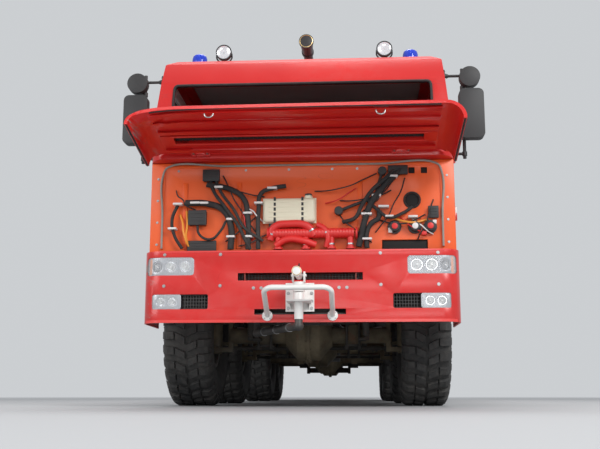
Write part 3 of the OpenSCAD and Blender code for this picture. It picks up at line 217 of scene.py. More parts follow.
class Finish:
    """A material under construction: its node tree and helpers that add to it."""
    slot = None

    def __init__(self, name):
        self.material = bpy.data.materials.new(name)
        self.material.use_nodes = True
        self.tree = self.material.node_tree
        self.shader = self.tree.nodes["Principled BSDF"]
        self.point = self.add("ShaderNodeTexCoord", {}, {}, "Object")

    @classmethod
    def of_tree(cls, tree):
        """The same helpers on a tree that exists already."""
        self = cls.__new__(cls)
        self.tree = tree
        return self

    def add(self, kind, settings=None, values=None, output=0):
        """A node with settings and input values; gives the wire of one output."""
        node = self.tree.nodes.new(kind)
        for key, value in (settings or {}).items():
            setattr(node, key, value)
        for key, value in (values or {}).items():
            self.join(value, node.inputs[key])
        return Wire(self, node.outputs[output])

    def join(self, value, socket):
        """Links a wire to a socket, or writes a plain value into it."""
        if isinstance(value, Wire):
            self.tree.links.new(value.socket, socket)
        elif hasattr(value, "__len__") and len(value) == 3 and socket.type == "RGBA":
            socket.default_value = (*value, 1)
        else:
            socket.default_value = value

    def set(self, **inputs):
        """Writes or links inputs of the main shader."""
        for name, value in inputs.items():
            self.join(value, self.shader.inputs[name.replace("_", " ")])
        return self

    def noise(self, scale, detail=4, roughness=0.55, stretch=(1, 1, 1), seed=0.0):
        where = self.add("ShaderNodeMapping", {}, {
            "Vector": self.point, "Scale": stretch, "Location": (seed, seed * 1.7, seed * 0.6)})
        return self.add("ShaderNodeTexNoise", {}, {
            "Vector": where, "Scale": scale, "Detail": detail, "Roughness": roughness}, "Fac")

    def _split(self, vector):
        parts = self.tree.nodes.new("ShaderNodeSeparateXYZ")
        self.tree.links.new(vector.socket, parts.inputs[0])
        return [Wire(self, out) for out in parts.outputs]

    def axes(self):
        """The place of a point, as three wires."""
        return self._split(self.point)

    def facing(self):
        """The direction a point's surface faces, as three wires."""
        return self._split(self.add("ShaderNodeNewGeometry", {}, {}, "Normal"))

    def mix(self, mask, below, above, blend="MIX"):
        """One colour over another where the mask says."""
        node = self.tree.nodes.new("ShaderNodeMix")
        node.data_type, node.blend_type = "RGBA", blend
        for value, place in ((mask, 0), (below, 6), (above, 7)):
            self.join(value, node.inputs[place])
        return Wire(self, node.outputs[2])

    def bump(self, height, strength=0.3, distance=0.002):
        normal = self.add("ShaderNodeBump", {}, {
            "Height": height, "Strength": strength, "Distance": distance})
        return self.set(Normal=normal)


print("shader helpers ready")

# %% [markdown]
# ## Finishes
# Enamel on a working truck is never one flat colour: sun and polish change it
# over a metre, dust settles low down and on ledges, grit leaves fine lines.
# Each of these is a mask, and `enamel` lays them over any colour.

# %% Colours and dust
RED = (0.60, 0.012, 0.010)
ORANGE = (0.82, 0.105, 0.008)
WHITE = (0.80, 0.80, 0.77)
BLACK = (0.018, 0.018, 0.019)
DUST = (0.36, 0.31, 0.25)
MUD = (0.16, 0.13, 0.10)
IRON = (0.20, 0.165, 0.105)
RUST = (0.16, 0.055, 0.025)
BARE = (0.30, 0.27, 0.25)
THREAD = 0.0016


def tint(colour, factor):
    """The colour made lighter or darker."""
    return tuple(min(1.0, c * factor) for c in colour)


def dusty(f, dust, seed, low=(1.6, 0.5)):
    """A mask of dust that thickens towards the ground, and the noises behind it."""
    broad = f.noise(0.8, 3, 0.6, seed=seed)
    fine = f.noise(11, 6, 0.68, seed=seed + 3)
    height = f.axes()[2].ramp(*low)
    mask = (height * 0.8 + broad.ramp(0.45, 0.8) * 0.35) * fine.ramp(0.34, 0.66) * dust
    return mask, broad, fine


def weather(f, colour, dust, seed=0.0):
    """Colour with slow drift under dust, the dust's mask and the fine noise."""
    mask, broad, fine = dusty(f, dust, seed)
    base = f.mix(broad.ramp(0.3, 0.7), tint(colour, 0.88), tint(colour, 1.06))
    grime = tuple(0.5 * c + 0.5 * d for c, d in zip(colour, DUST))
    return f.mix(mask, base, grime), mask, fine


def settled(f):
    """Roughness that fine dust adds to faces that look up."""
    return f.facing()[2].ramp(0.5, 0.95) * 0.42


def hairlines(f, amount, seed):
    """Thin curved lines, as grit leaves them: the level lines of a slow noise."""
    scale, width = 5, 0.004
    field = f.noise(scale, 2, 0.4, stretch=(0.4, 1, 1), seed=seed)
    patch = f.noise(scale * 0.35, 2, 0.5, seed=seed + 5).ramp(0.52, 0.7)
    return (field - 0.5).size().ramp(width, 0.0) * patch * amount


def scraped(f, edge, full, threshold):
    """Long strokes on the side that lay on the ground, past the place `edge`."""
    strokes = f.noise(7, 5, 0.7, stretch=(1, 0.16, 2.2), seed=4).ramp(threshold, 0.62)
    return f.axes()[0].ramp(edge, full) * strokes


def lacquered(f, base, dirt, fine, rough, seed):
    """Enamel's gloss: rougher where dirty, a thin coat, and waves a hand wide."""
    f.set(Base_Color=base, Roughness=dirt + fine * 0.08 + rough + settled(f),
          Coat_Weight=0.12, Coat_Roughness=0.2)
    return f.bump(f.noise(2.4, 2, 0.5, seed=seed) * 0.9 + fine * 0.06, 0.25, 0.006)


print("paint helpers ready")


# %% Enamel, satin and cast iron
def enamel(name, colour, dust=0.35, rough=0.26, scuffed=0.0, seed=0.0):
    """Gloss paint with drift, dust and fine lines, and scraped where asked."""
    f = Finish(name)
    base, mask, fine = weather(f, colour, dust, seed)
    base = f.mix(hairlines(f, 0.5, seed), base, tint(colour, 0.45))
    if scuffed:
        scuff = scraped(f, -1.12, -1.20, 0.55) * scuffed
        base = f.mix(scuff, base, BARE)
        mask = mask.most(scuff)
    return lacquered(f, base, mask * 0.55, fine, rough, seed)


def satin(name, colour, rough=0.5, dust=0.5, metal=0.0, grain=60, seed=2.0):
    """Half-matt paint, plastic or metal with a fine grain."""
    f = Finish(name)
    base, mask, fine = weather(f, colour, dust, seed)
    f.set(Base_Color=base, Roughness=mask * 0.35 + rough, Metallic=metal)
    return f.bump(f.noise(grain, 3, 0.6) + fine * 0.5, 0.35, 0.0012)


def casting(name, colour, oil=0.6, seed=1.0):
    """Rough iron under old paint, with oily patches and caked dust."""
    f = Finish(name)
    broad = f.noise(2.6, 5, 0.62, seed=seed)
    grit = f.noise(34, 6, 0.7, seed=seed)
    up = f.facing()[2]
    base = f.mix(broad.ramp(0.38, 0.66), tint(colour, 0.55), tint(colour, 1.25))
    base = f.mix(f.noise(6, 4, 0.6, seed=seed + 2).ramp(0.6, 0.72) * 0.6, base, RUST)
    caked = (up.ramp(0.2, 0.9) * 0.6 + grit.ramp(0.5, 0.7) * 0.35)
    base = f.mix(caked, base, MUD)
    wet = f.noise(3.3, 3, 0.5, seed=seed + 7).ramp(0.56, 0.66) * oil
    base = f.mix(wet, base, tint(colour, 0.25))
    f.set(Base_Color=base, Roughness=0.82 - wet * 0.45)
    return f.bump(grit + broad, 0.5, 0.004)


print("metal finishes ready")


# %% Rubber, cloth, glass and plating
def rubber(name, colour=(0.022, 0.022, 0.023), dust=0.5, grain=90, seed=0.0):
    """Matt rubber with pale dust in patches."""
    f = Finish(name)
    fine = f.noise(18, 6, 0.7, seed=seed)
    broad = f.noise(2.2, 3, 0.55, seed=seed)
    mask = (broad.ramp(0.35, 0.75) * 0.6 + fine.ramp(0.45, 0.7) * 0.5) * dust
    f.set(Base_Color=f.mix(mask, colour, (0.13, 0.12, 0.105)), Roughness=0.86 - broad * 0.12)
    return f.bump(f.noise(grain, 3, 0.6, seed=seed) * 0.5 + fine, 0.3, 0.0015)


def woven(name, colour):
    """Plain weave: two sets of threads that cross, a thread apart, with painted shade and
    highlight.
    """
    f = Finish(name)
    x, y, z = f.axes()
    over = (x * (math.pi / THREAD)).wave() * ((y + z) * (math.pi / THREAD)).wave()
    broad = f.noise(5, 4, 0.6)
    # Darker in the hollows between threads and lighter on their crowns: painted shade and
    # highlight that follow the bump's pattern.
    base = f.mix(over.ramp(0.0, 1.0), tint(colour, 0.6), tint(colour, 1.5))
    base = f.mix(broad.ramp(0.45, 0.75) * 0.3, base, (0.10, 0.095, 0.085))
    f.set(Base_Color=base, Roughness=0.92 - broad * 0.1, Sheen_Weight=0.35)
    return f.bump(over + f.noise(160, 2, 0.5) * 0.6, 0.4, 0.0008)


def clear(name, colour, alpha):
    """Glass or lens plastic, a little smeared."""
    f = Finish(name)
    smear = f.noise(3, 5, 0.65).ramp(0.4, 0.8)
    f.set(Base_Color=colour, Roughness=smear * 0.2 + 0.05, Alpha=smear * 0.1 + alpha, IOR=1.45)
    f.material.surface_render_method = "BLENDED"
    return f


def bright(name, colour=(0.86, 0.87, 0.88), rough=0.12):
    """Plated or polished metal, duller in patches."""
    f = Finish(name)
    dulled = f.noise(9, 4, 0.6).ramp(0.3, 0.8, rough, rough + 0.18)
    return f.set(Base_Color=colour, Metallic=1.0, Roughness=dulled)


print("soft and clear finishes ready")

# %% [markdown]
# Two panels carry colour bands. On the cab a white field covers the panel
# behind the front door; on the rear body a white band steps down over the
# wheels with an orange stripe under it. Both are painted on the metal, so
# they are masks on the place of a point and not pieces of their own.

# %% Painted bands
def banded(name, bands, seed):
    """Red enamel with bands, each a colour and a mask of (x, station, height)."""
    f = Finish(name)
    x, y, z = f.axes()
    station = y - BUMPER_Y
    colour = RED
    for band_colour, mask_of in bands:
        colour = f.mix(mask_of(x.size(), station, z), colour, band_colour)
    mask, broad, fine = dusty(f, 0.35, seed, low=(2.0, 0.55))
    drift = f.mix(broad.ramp(0.3, 0.7), (0.82, 0.82, 0.82), (1.0, 1.0, 1.0))
    painted = f.mix(mask, f.mix(1.0, colour, drift, blend="MULTIPLY"), DUST)
    painted = f.mix(hairlines(f, 0.4, seed), painted, (0.2, 0.05, 0.05))
    scuff = scraped(f, -1.17, -1.22, 0.56) * 0.7
    painted = f.mix(scuff, painted, BARE)
    return lacquered(f, painted, mask.most(scuff) * 0.5, fine, 0.26, seed)


def over_edge(s, z):
    """Height above the body band's lower edge, which falls in two steps to the rear."""
    return z - (2.30 - (s.over(5.45) * 0.32) - (s.over(8.6) * 0.30))


def step_band(x, s, z):
    """White from that edge up to the roof's bend."""
    return over_edge(s, z).over(0) * z.under(2.66) * x.over(1.15)


def step_stripe(x, s, z):
    """The orange stripe just under the white."""
    return over_edge(s, z).under(-0.03) * over_edge(s, z).over(-0.11) * x.over(1.15)


print("bands ready")

# %% The finishes, and the slots that let a user repaint them
finishes = {
    "red": enamel("red enamel", RED, dust=0.16, scuffed=0.8),
    "orange": enamel("orange wall paint", ORANGE, dust=0.25, rough=0.42, seed=5),
    "white": enamel("white enamel", WHITE, dust=0.3, scuffed=0.6, seed=6),
    "cab": banded("cab enamel", [
        (WHITE, lambda x, s, z: s.between(1.36, 1.955) * z.between(1.22, 2.78) * x.over(1.12)),
        (ORANGE, lambda x, s, z: z.between(1.52, 1.585) * s.over(1.96) * x.over(1.15)),
    ], seed=1),
    "crew door": banded("crew door enamel", [
        (ORANGE, lambda x, s, z: z.between(1.52, 1.585) * x.over(1.15)),
    ], seed=2),
    "body": banded("rear body enamel", [(WHITE, step_band), (ORANGE, step_stripe)], seed=3),
    "frame": casting("frame paint", (0.22, 0.035, 0.025), oil=0.35, seed=3),
    "iron": casting("olive axle iron", IRON, seed=1),
    "spring": casting("spring steel", (0.07, 0.066, 0.06), seed=2),
    "rusty": casting("rusty pipe", (0.15, 0.075, 0.04), oil=0.0, seed=9),
    "engine": casting("engine iron", (0.16, 0.165, 0.17), seed=4),
    "black": satin("black paint", BLACK, 0.42, 0.35),
    "monitor": satin("monitor paint", (0.022, 0.022, 0.024), 0.4, 0.3, seed=14),
    "dark": satin("dark grey paint", (0.045, 0.046, 0.05), 0.5, 0.4),
    "locker": satin("locker paint", (0.055, 0.056, 0.06), 0.55, 0.6),
    "plastic": satin("black moulded plastic", (0.02, 0.02, 0.021), 0.55, 0.25, grain=260),
    "dash": satin("dashboard plastic", (0.03, 0.03, 0.033), 0.6, 0.15, grain=220),
    "slat": satin("anodised slats", (0.55, 0.56, 0.58), 0.34, 0.25, metal=0.85),
    "pump": casting("pump casting", (0.28, 0.26, 0.22), oil=0.3, seed=8),
    "tyre": rubber("tyre rubber"),
    "hose": rubber("hose rubber", (0.014, 0.014, 0.015), 0.3, 140, 2),
    "rim": satin("wheel paint", (0.05, 0.05, 0.052), 0.5, 0.8),
    "glass": clear("safety glass", (0.10, 0.12, 0.12), alpha=0.5),
    "lens": clear("lamp lens", (0.9, 0.92, 0.95), alpha=0.14),
    "blue": clear("blue beacon lens", (0.01, 0.05, 0.6), alpha=0.8),
    "amber": clear("amber lens", (0.8, 0.22, 0.01), alpha=0.85),
    "tail": clear("red lens", (0.6, 0.01, 0.01), alpha=0.85),
    "chrome": bright("chromed reflector"),
    "reflector": satin("lamp housing", (0.30, 0.31, 0.33), 0.35, 0.1, metal=0.9, grain=40),
    "bulb": satin("bulb glass", (0.85, 0.84, 0.78), 0.15, 0.0),
    "red edge": enamel("worn red edge", (0.74, 0.05, 0.045), dust=0.2, seed=11),
    "brass": bright("nozzle brass", (0.62, 0.45, 0.22), 0.3),
    # Near black: the own colour of dial faces, ticks and sealant, and also painted shade that
    # fills the nozzle, the barrel, the wall's openings and the stack's top.
    "black_and_painted_shade": satin("near black with painted shade", (0.006, 0.006, 0.006), 0.8, 0.0),
    "seal": rubber("pale rubber seal", (0.30, 0.29, 0.26), 0.4, 120, 5),
    "gasket": rubber("black gasket", (0.012, 0.012, 0.013), 0.25, 150, 6),
    "cable": satin("orange cable", (0.78, 0.30, 0.03), 0.45, 0.2, grain=200),
    "red duct": satin("red moulded duct", (0.62, 0.02, 0.018), 0.45, 0.2, grain=90, seed=12),
    "clip": satin("white clip", (0.72, 0.72, 0.70), 0.4, 0.2),
    "steel": bright("zinc plated steel", (0.42, 0.42, 0.42), 0.32),
    "tank": satin("milky tank plastic", (0.72, 0.68, 0.52), 0.4, 0.25, grain=120),
    "cloth": woven("seat cloth", (0.035, 0.038, 0.050)),
    "piping": satin("seat piping", (0.02, 0.02, 0.022), 0.5, 0.1, grain=300),
    "lining": satin("cab lining", (0.26, 0.26, 0.25), 0.8, 0.1, grain=380),
}
SLOTS = {
    "red_paint": ["red", "cab", "crew door", "body", "red edge"], "orange_paint": ["orange"],
    "white_paint": ["white"], "monitor_paint": ["monitor"], "frame_paint": ["frame"],
    "axle_iron": ["iron"], "spring_steel": ["spring"], "engine_iron": ["engine"],
    "black_metal": ["black", "dark"],
    "locker_paint": ["locker"], "mirror_plastic": ["plastic"], "dash_plastic": ["dash"],
    "shutter_metal": ["slat"], "pump_paint": ["pump"], "tyre": ["tyre"], "rim_paint": ["rim"],
    "hose_rubber": ["hose", "seal", "gasket"], "window_glass": ["glass"], "beacon_blue": ["blue"],
    "lamp_lens": ["lens", "reflector", "chrome", "bulb"], "seat_fabric": ["cloth", "piping"],
}
for slot_name, keys in SLOTS.items():
    for key in keys:
        finishes[key].slot = slot_name
print("finishes:", len(finishes))

# %% [markdown]
# ## Panels with rolled edges
# A pressed panel has no knife edge: a radius of a few millimetres catches a
# line of light all the way round it. The solids have sharp edges, so each
# painted panel is a welded copy of its solid with a small bevel.

# %% Copies of solids, welded and bevelled
def shaped(name, mesh, finish, body, stands_for=()):
    """A mesh as a piece with a finish, given by its key, that rides on a body."""
    piece = linked(name, mesh)
    mesh.materials.clear()
    mesh.materials.append(finishes[finish].material)
    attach(piece, body)
    if stands_for:
        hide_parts(*stands_for)
    return piece


def welded(node):
    """The solid's triangles joined, with flat areas made one face."""
    skin = bmesh.new()
    skin.from_mesh(nodes[node].data)
    bmesh.ops.remove_doubles(skin, verts=skin.verts, dist=2e-5)
    bmesh.ops.dissolve_limit(skin, angle_limit=math.radians(0.6), verts=skin.verts,
                             edges=skin.edges)
    return skin


def smooth(mesh, angle=32):
    """Smooth shading, with edges sharper than the angle kept sharp."""
    for face in mesh.polygons:
        face.use_smooth = True
    mesh.set_sharp_from_angle(angle=math.radians(angle))


def read_back(holder):
    """The object's shape after its modifiers as a plain mesh; the object goes."""
    graph = bpy.context.evaluated_depsgraph_get()
    result = bpy.data.meshes.new_from_object(holder.evaluated_get(graph))
    bpy.data.objects.remove(holder)
    return result


def modified(mesh, kind, **settings):
    """The mesh after one modifier."""
    holder = linked("holder", mesh)
    modifier = holder.modifiers.new(kind.lower(), kind)
    for key, value in settings.items():
        setattr(modifier, key, value)
    return read_back(holder)


def rolled(node, finish, radius, name=None, reshape=None):
    """The solid as a piece with rolled edges, which takes its place and its body."""
    skin = welded(node)
    if reshape:
        reshape(skin)
    mesh = bpy.data.meshes.new(node + "_skin")
    skin.to_mesh(mesh)
    skin.free()
    if radius:
        mesh = modified(mesh, "BEVEL", width=radius, segments=2, limit_method="ANGLE",
                        angle_limit=math.radians(32), use_clamp_overlap=True)
    smooth(mesh)
    return shaped(name or node + "_panel", mesh, finish, nodes[node]["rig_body"], [node])


ROLLED = [
    ("cab_shell", "cab", 0.006), ("bumper", "red", 0.008),
    ("rear_body", "body", 0.008), ("rear_door", "red", 0.006),
    ("door_front_left", "white", 0.006), ("door_front_right", "white", 0.006),
    ("door_crew_left", "crew door", 0.006), ("door_crew_right", "crew door", 0.006),
    ("cab_front_wall", "orange", 0.003), ("side_lockers", "locker", 0.006),
    ("frame_rails", "frame", 0.004), ("axle_housings", "iron", 0.006),
    ("leaf_springs", "spring", 0.002), ("engine_block", "engine", 0.008),
    ("driveline", "engine", 0.004), ("radiator_guard", "black", 0.003),
    ("intake_mast", "black", 0.006), ("dashboard", "dash", 0.006),
    ("bumper_guard", "white", 0.002), ("cab_steps", "dark", 0.003),
    ("shutters", "slat", 0.002), ("roof_fittings", "dark", 0.004),
    ("rear_bumper", "dark", 0.006), ("pump_unit", "pump", 0.004),
    ("monitor_turret", "monitor", 0.003), ("monitor_barrel", "monitor", 0.003),
    ("bumper_turret", "white", 0.002), ("bumper_nozzle", "white", 0.002),
    ("tie_rod_1", "spring", 0.002), ("tie_rod_2", "spring", 0.002),
]
ROLLED += [(f"knuckle_{axle}_{side}", "iron", 0.003) for axle in (1, 2) for side, _ in SIDES]
ROLLED += [(f"rim_{axle}_{side}", "rim", 0) for axle in (1, 2, 3, 4) for side, _ in SIDES]
ROLLED += [(f"glass_{door}_{side}", "glass", 0) for door in ("front", "crew") for side, _ in SIDES]
ROLLED += [("mirrors", "plastic", 0.004)]
for node, finish, radius in ROLLED:
    rolled(node, finish, radius)

# %% [markdown]
# ## Rules for what repeats
# Nuts round a wheel, blocks round a tyre and bolts along a flange each follow
# a rule: one small form, a count and a step. A Geometry Nodes tree holds the
# rule, its sizes are named inputs, and the result is read back as plain mesh.

# %% A tree of geometry nodes
class Rule(Finish):
    """A Geometry Nodes tree, built with the same helpers as a material."""

    def __init__(self, name, **sizes):
        self.tree = bpy.data.node_groups.new(name, "GeometryNodeTree")
        face = self.tree.interface
        for label, kind, value in self._sockets(sizes):
            socket = face.new_socket(label, in_out="INPUT", socket_type="NodeSocket" + kind)
            if value is not None:
                socket.default_value = value
        face.new_socket("Geometry", in_out="OUTPUT", socket_type="NodeSocketGeometry")
        self.start = self.tree.nodes.new("NodeGroupInput")
        self.end = self.tree.nodes.new("NodeGroupOutput")

    @staticmethod
    def _sockets(sizes):
        yield "Geometry", "Geometry", None
        yield "Paint", "Material", None
        for label, value in sizes.items():
            kind = {int: "Int", float: "Float", tuple: "Vector"}[type(value)]
            yield label, kind, value

    def size(self, label):
        return Wire(self, self.start.outputs[label])

    def close(self, geometry):
        """Realize the instances, give them their paint and end the tree."""
        real = self.add("GeometryNodeRealizeInstances", {}, {"Geometry": geometry})
        painted = self.add("GeometryNodeSetMaterial", {}, {
            "Geometry": real, "Material": self.size("Paint")})
        self.join(painted, self.end.inputs[0])
        return self

    def grow(self, mesh, finish, **sizes):
        """The tree's result on a mesh, as a plain mesh with a finish."""
        holder = linked("holder", mesh)
        modifier = holder.modifiers.new("rule", "NODES")
        modifier.node_group = self.tree
        sizes["Paint"] = finishes[finish].material
        for socket in self.tree.interface.items_tree:
            if socket.in_out == "INPUT" and socket.name in sizes:
                modifier[socket.identifier] = sizes[socket.name]
        return read_back(holder)


print("rule helper ready")


# %% Three rules: turned copies, bolts and stepped copies
def turned_rule():
    """Copies of a form turned about the X axis through the origin."""
    rule = Rule("turned copies", Count=12, Start=0.0)
    count = rule.size("Count")
    points = rule.add("GeometryNodePoints", {}, {"Count": count})
    index = rule.add("GeometryNodeInputIndex")
    angle = index * (2 * math.pi) / count + rule.size("Start")
    turn = rule.add("ShaderNodeCombineXYZ", {}, {"X": angle})
    copies = rule.add("GeometryNodeInstanceOnPoints", {}, {
        "Points": points, "Instance": rule.size("Geometry"), "Rotation": turn})
    return rule.close(copies)


def bolt_rule():
    """A hexagon head on a washer at every point, its axis along Facing."""
    rule = Rule("bolts", Radius=0.01, Height=0.008, Facing=(0.0, 0.0, 1.0))
    radius, height = rule.size("Radius"), rule.size("Height")
    head = rule.add("GeometryNodeMeshCylinder", {}, {
        "Vertices": 6, "Radius": radius, "Depth": height}, "Mesh")
    washer = rule.add("GeometryNodeMeshCylinder", {}, {
        "Vertices": 12, "Radius": radius * 1.45, "Depth": height * 0.3}, "Mesh")
    raised = rule.add("GeometryNodeTransform", {}, {
        "Geometry": head,
        "Translation": rule.add("ShaderNodeCombineXYZ", {}, {"Z": height * 0.6})})
    both = rule.tree.nodes.new("GeometryNodeJoinGeometry")
    for part in (raised, washer):
        rule.tree.links.new(part.socket, both.inputs[0])
    turn = rule.add("FunctionNodeAlignRotationToVector", {"axis": "Z"}, {
        "Vector": rule.size("Facing")})
    copies = rule.add("GeometryNodeInstanceOnPoints", {}, {
        "Points": rule.size("Geometry"), "Instance": Wire(rule, both.outputs[0]),
        "Rotation": turn})
    return rule.close(copies)


def stepped_rule():
    """Copies of a form, each one Step on from the last."""
    rule = Rule("stepped copies", Count=8, Step=(0.1, 0.0, 0.0))
    points = rule.add("GeometryNodePoints", {}, {"Count": rule.size("Count")})
    index = rule.add("GeometryNodeInputIndex")
    place = rule.add("ShaderNodeVectorMath", {"operation": "SCALE"}, {
        "Vector": rule.size("Step"), "Scale": index})
    moved = rule.add("GeometryNodeSetPosition", {}, {"Geometry": points, "Position": place})
    copies = rule.add("GeometryNodeInstanceOnPoints", {}, {
        "Points": moved, "Instance": rule.size("Geometry")})
    return rule.close(copies)


TURNED, BOLTS, STEPPED = turned_rule(), bolt_rule(), stepped_rule()
print("rules:", TURNED.tree.name, BOLTS.tree.name, STEPPED.tree.name)


# %% Bolts at chosen places
def point_mesh(points):
    """A mesh of loose points, where a rule puts its copies."""
    mesh = bpy.data.meshes.new("points")
    mesh.from_pydata([tuple(p) for p in points], [], [])
    return mesh


def bolts(name, points, facing, radius, finish="steel", height=None, body="chassis"):
    """Hexagon heads at places, all facing one way."""
    mesh = BOLTS.grow(point_mesh(points), finish, Radius=radius,
                      Height=height or radius * 0.9, Facing=tuple(facing))
    return shaped(name, mesh, finish, body)


def bolts_each_side(name, points, radius, finish="steel", height=None):
    """Bolts that face outward on the left, and their mirror images on the right."""
    for side, e in SIDES:
        places = [Vector((e * p.x, p.y, p.z)) for p in points]
        bolts(f"{name}_{side}", places, (e, 0, 0), radius, finish, height)


print("bolt helper ready")

# %% [markdown]
# ## Small forms in mesh code
# Everything else is made from a few forms: a piece or a ring turned from a
# profile, a rounded slab, and a tube along a smooth path. Each is a mesh that
# `add` joins with others of its finish into one piece.

# %% Turned forms and places round a circle
def mesh_of(form, name="form"):
    """The edited form as a mesh, its faces turned outward; the form goes."""
    mesh = bpy.data.meshes.new(name)
    bmesh.ops.recalc_face_normals(form, faces=form.faces)
    form.to_mesh(mesh)
    form.free()
    return mesh


def turned(form, profile, sides):
    """Rings of points about the X axis, one for each (offset, radius) pair."""
    angles = [2 * math.pi * i / sides for i in range(sides)]
    return [[form.verts.new((offset, radius * math.cos(a), radius * math.sin(a)))
             for a in angles] for offset, radius in profile]


def spun(profile, sides=48, closed=True):
    """A ring about the X axis from (offset, radius) pairs, or a piece with ends."""
    form = bmesh.new()
    rings = turned(form, profile, sides)
    pairs = list(zip(rings, rings[1:]))
    if closed:
        pairs.append((rings[-1], rings[0]))
    for one, two in pairs:
        for i in range(sides):
            j = (i + 1) % sides
            form.faces.new((one[i], two[i], two[j], one[j]))
    if not closed:
        for ring in (rings[0], rings[-1]):
            form.faces.new(ring)
    return form


def moved(mesh, place, turn=None):
    """The mesh put at a place, after a turn given as (angle, axis)."""
    matrix = Matrix.Translation(Vector(place))
    if turn is not None:
        matrix = matrix @ Matrix.Rotation(turn[0], 4, turn[1])
    mesh.transform(matrix)
    return mesh


def aimed(mesh, along, place):
    """A form made about the X axis, turned along a direction and put at a place."""
    mesh.transform(Vector(along).to_track_quat("X", "Z").to_matrix().to_4x4())
    return moved(mesh, place)


def hoop(place, along, profile, sides=40):
    """A turned ring: profile is (offset along, radius), round a hole."""
    return aimed(mesh_of(spun(profile, sides)), along, place)


def circle(centre, radius, count, plane="xy", start=0.0):
    """Places round a circle, as for the bolts of a flange."""
    one, two = ("xyz".index(letter) for letter in plane)
    places = [Vector(centre) for _ in range(count)]
    for i, place in enumerate(places):
        angle = start + 2 * math.pi * i / count
        place[one] += radius * math.cos(angle)
        place[two] += radius * math.sin(angle)
    return places


print("turned forms ready")


# %% Slabs, tubes and what joins them
def slab(low, high, radius=0.004, segments=2):
    """A block between two corners with rounded edges."""
    form = bmesh.new()
    low, high = Vector(low), Vector(high)
    bmesh.ops.create_cube(form, size=1.0)
    middle, size = (low + high) / 2, high - low
    for vert in form.verts:
        vert.co = Vector((vert.co[i] * abs(size[i]) + middle[i] for i in range(3)))
    radius = min(radius, 0.45 * min(abs(c) for c in size))
    if radius > 0:
        bmesh.ops.bevel(form, geom=form.edges[:], offset=radius, segments=segments,
                        profile=0.5, affect="EDGES")
    return mesh_of(form)


def mirrored(mesh):
    """A copy of the mesh on the other side of the truck."""
    twin = mesh.copy()
    twin.transform(Matrix.Scale(-1, 4, ACROSS))
    twin.flip_normals()
    return twin


def both(meshes):
    """The meshes and their mirror images across the truck."""
    return meshes + [mirrored(mesh) for mesh in meshes]


def joined(meshes, name="joined"):
    """Several meshes as one."""
    form = bmesh.new()
    for mesh in meshes:
        form.from_mesh(mesh)
    result = bpy.data.meshes.new(name)
    form.to_mesh(result)
    form.free()
    return result


def tube(points, radius, sides=12, smoothness=8, cyclic=False):
    """A round tube along a smooth curve through the points."""
    data = bpy.data.curves.new("path", "CURVE")
    data.dimensions = "3D"
    data.bevel_depth, data.bevel_resolution = radius, max(1, sides // 4)
    data.resolution_u, data.use_fill_caps = smoothness, True
    spline = data.splines.new("BEZIER")
    spline.bezier_points.add(len(points) - 1)
    spline.use_cyclic_u = cyclic
    for knot, point in zip(spline.bezier_points, points):
        knot.co = Vector(point)
        knot.handle_left_type = knot.handle_right_type = "AUTO"
    return read_back(linked("path", data))


def collar(place, along, radius, width, wall=0.004, sides=20):
    """A band round a hose or bar whose axis runs along a direction."""
    half = width / 2
    return hoop(place, along, [(-half, radius), (half, radius), (half, radius + wall),
                               (-half, radius + wall)], sides)


def disc(place, along, profile, sides=32):
    """A turned piece with solid ends: profile is (offset along, radius)."""
    return aimed(mesh_of(spun(profile, sides, closed=False)), along, place)


def add(name, meshes, finish, body="chassis", stands_for=(), angle=35):
    """Forms joined into one smooth piece with a finish, on the chassis unless said."""
    mesh = joined(meshes if isinstance(meshes, list) else [meshes], name)
    smooth(mesh, angle)
    return shaped(name, mesh, finish, body, stands_for)


print("forms ready")

# %% [markdown]
# ## Tyres
# Each half of the tread has thirty bars, the halves half a pitch apart, as on
# the solid. Here a bar is two blocks, a heavy lug that runs down the shoulder
# and a skewed block beside the middle, and the rule turns them round a casing.

# %% Tread blocks and casing
PITCHES = 30
PITCH = 2 * math.pi / PITCHES
SHOULDER = [(0.104, 0.6295, 0.598), (0.158, 0.6290, 0.594), (0.182, 0.6150, 0.583),
            (0.199, 0.5890, 0.562), (0.2105, 0.5560, 0.547)]
MIDDLE = [(0.012, 0.6290, 0.600), (0.054, 0.6295, 0.600), (0.092, 0.6295, 0.600)]


def tread_block(form, rows, start, end, slant, side):
    """A block from (offset, tip radius, root radius) rows between two angles."""
    draft = 0.010
    rings = []
    for offset, tip, root in rows:
        shift = slant * (offset - rows[-1][0])
        corners = ((start, root), (start + draft, tip), (end - draft, tip), (end, root))
        rings.append([form.verts.new((side * offset, r * math.cos(a + shift),
                                      r * math.sin(a + shift))) for a, r in corners])
    for one, two in zip(rings, rings[1:]):
        for i in range(4):
            j = (i + 1) % 4
            form.faces.new((one[i], one[j], two[j], two[i]))
    for ring in (rings[0], rings[-1]):
        form.faces.new(ring)


def tread_pitch():
    """The blocks of one pitch, on both halves of the tread."""
    form = bmesh.new()
    for side, lag in ((1, 0.5), (-1, 0.0)):
        begin = lag * PITCH
        tread_block(form, SHOULDER, begin, begin + 0.56 * PITCH, 0.0, side)
        tread_block(form, MIDDLE, begin + 0.05 * PITCH, begin + 0.60 * PITCH, -0.75, side)
    return mesh_of(form, "tread pitch")


CASING = [(0.149, 0.271), (0.152, 0.293), (0.166, 0.300), (0.178, 0.312), (0.186, 0.330),
          (0.190, 0.336), (0.192, 0.345), (0.198, 0.360), (0.205, 0.392), (0.2085, 0.430),
          (0.2095, 0.470), (0.2080, 0.505), (0.2105, 0.512), (0.2105, 0.519), (0.2065, 0.526),
          (0.202, 0.550), (0.196, 0.566), (0.184, 0.586), (0.160, 0.597), (0.110, 0.602),
          (0.004, 0.603)]


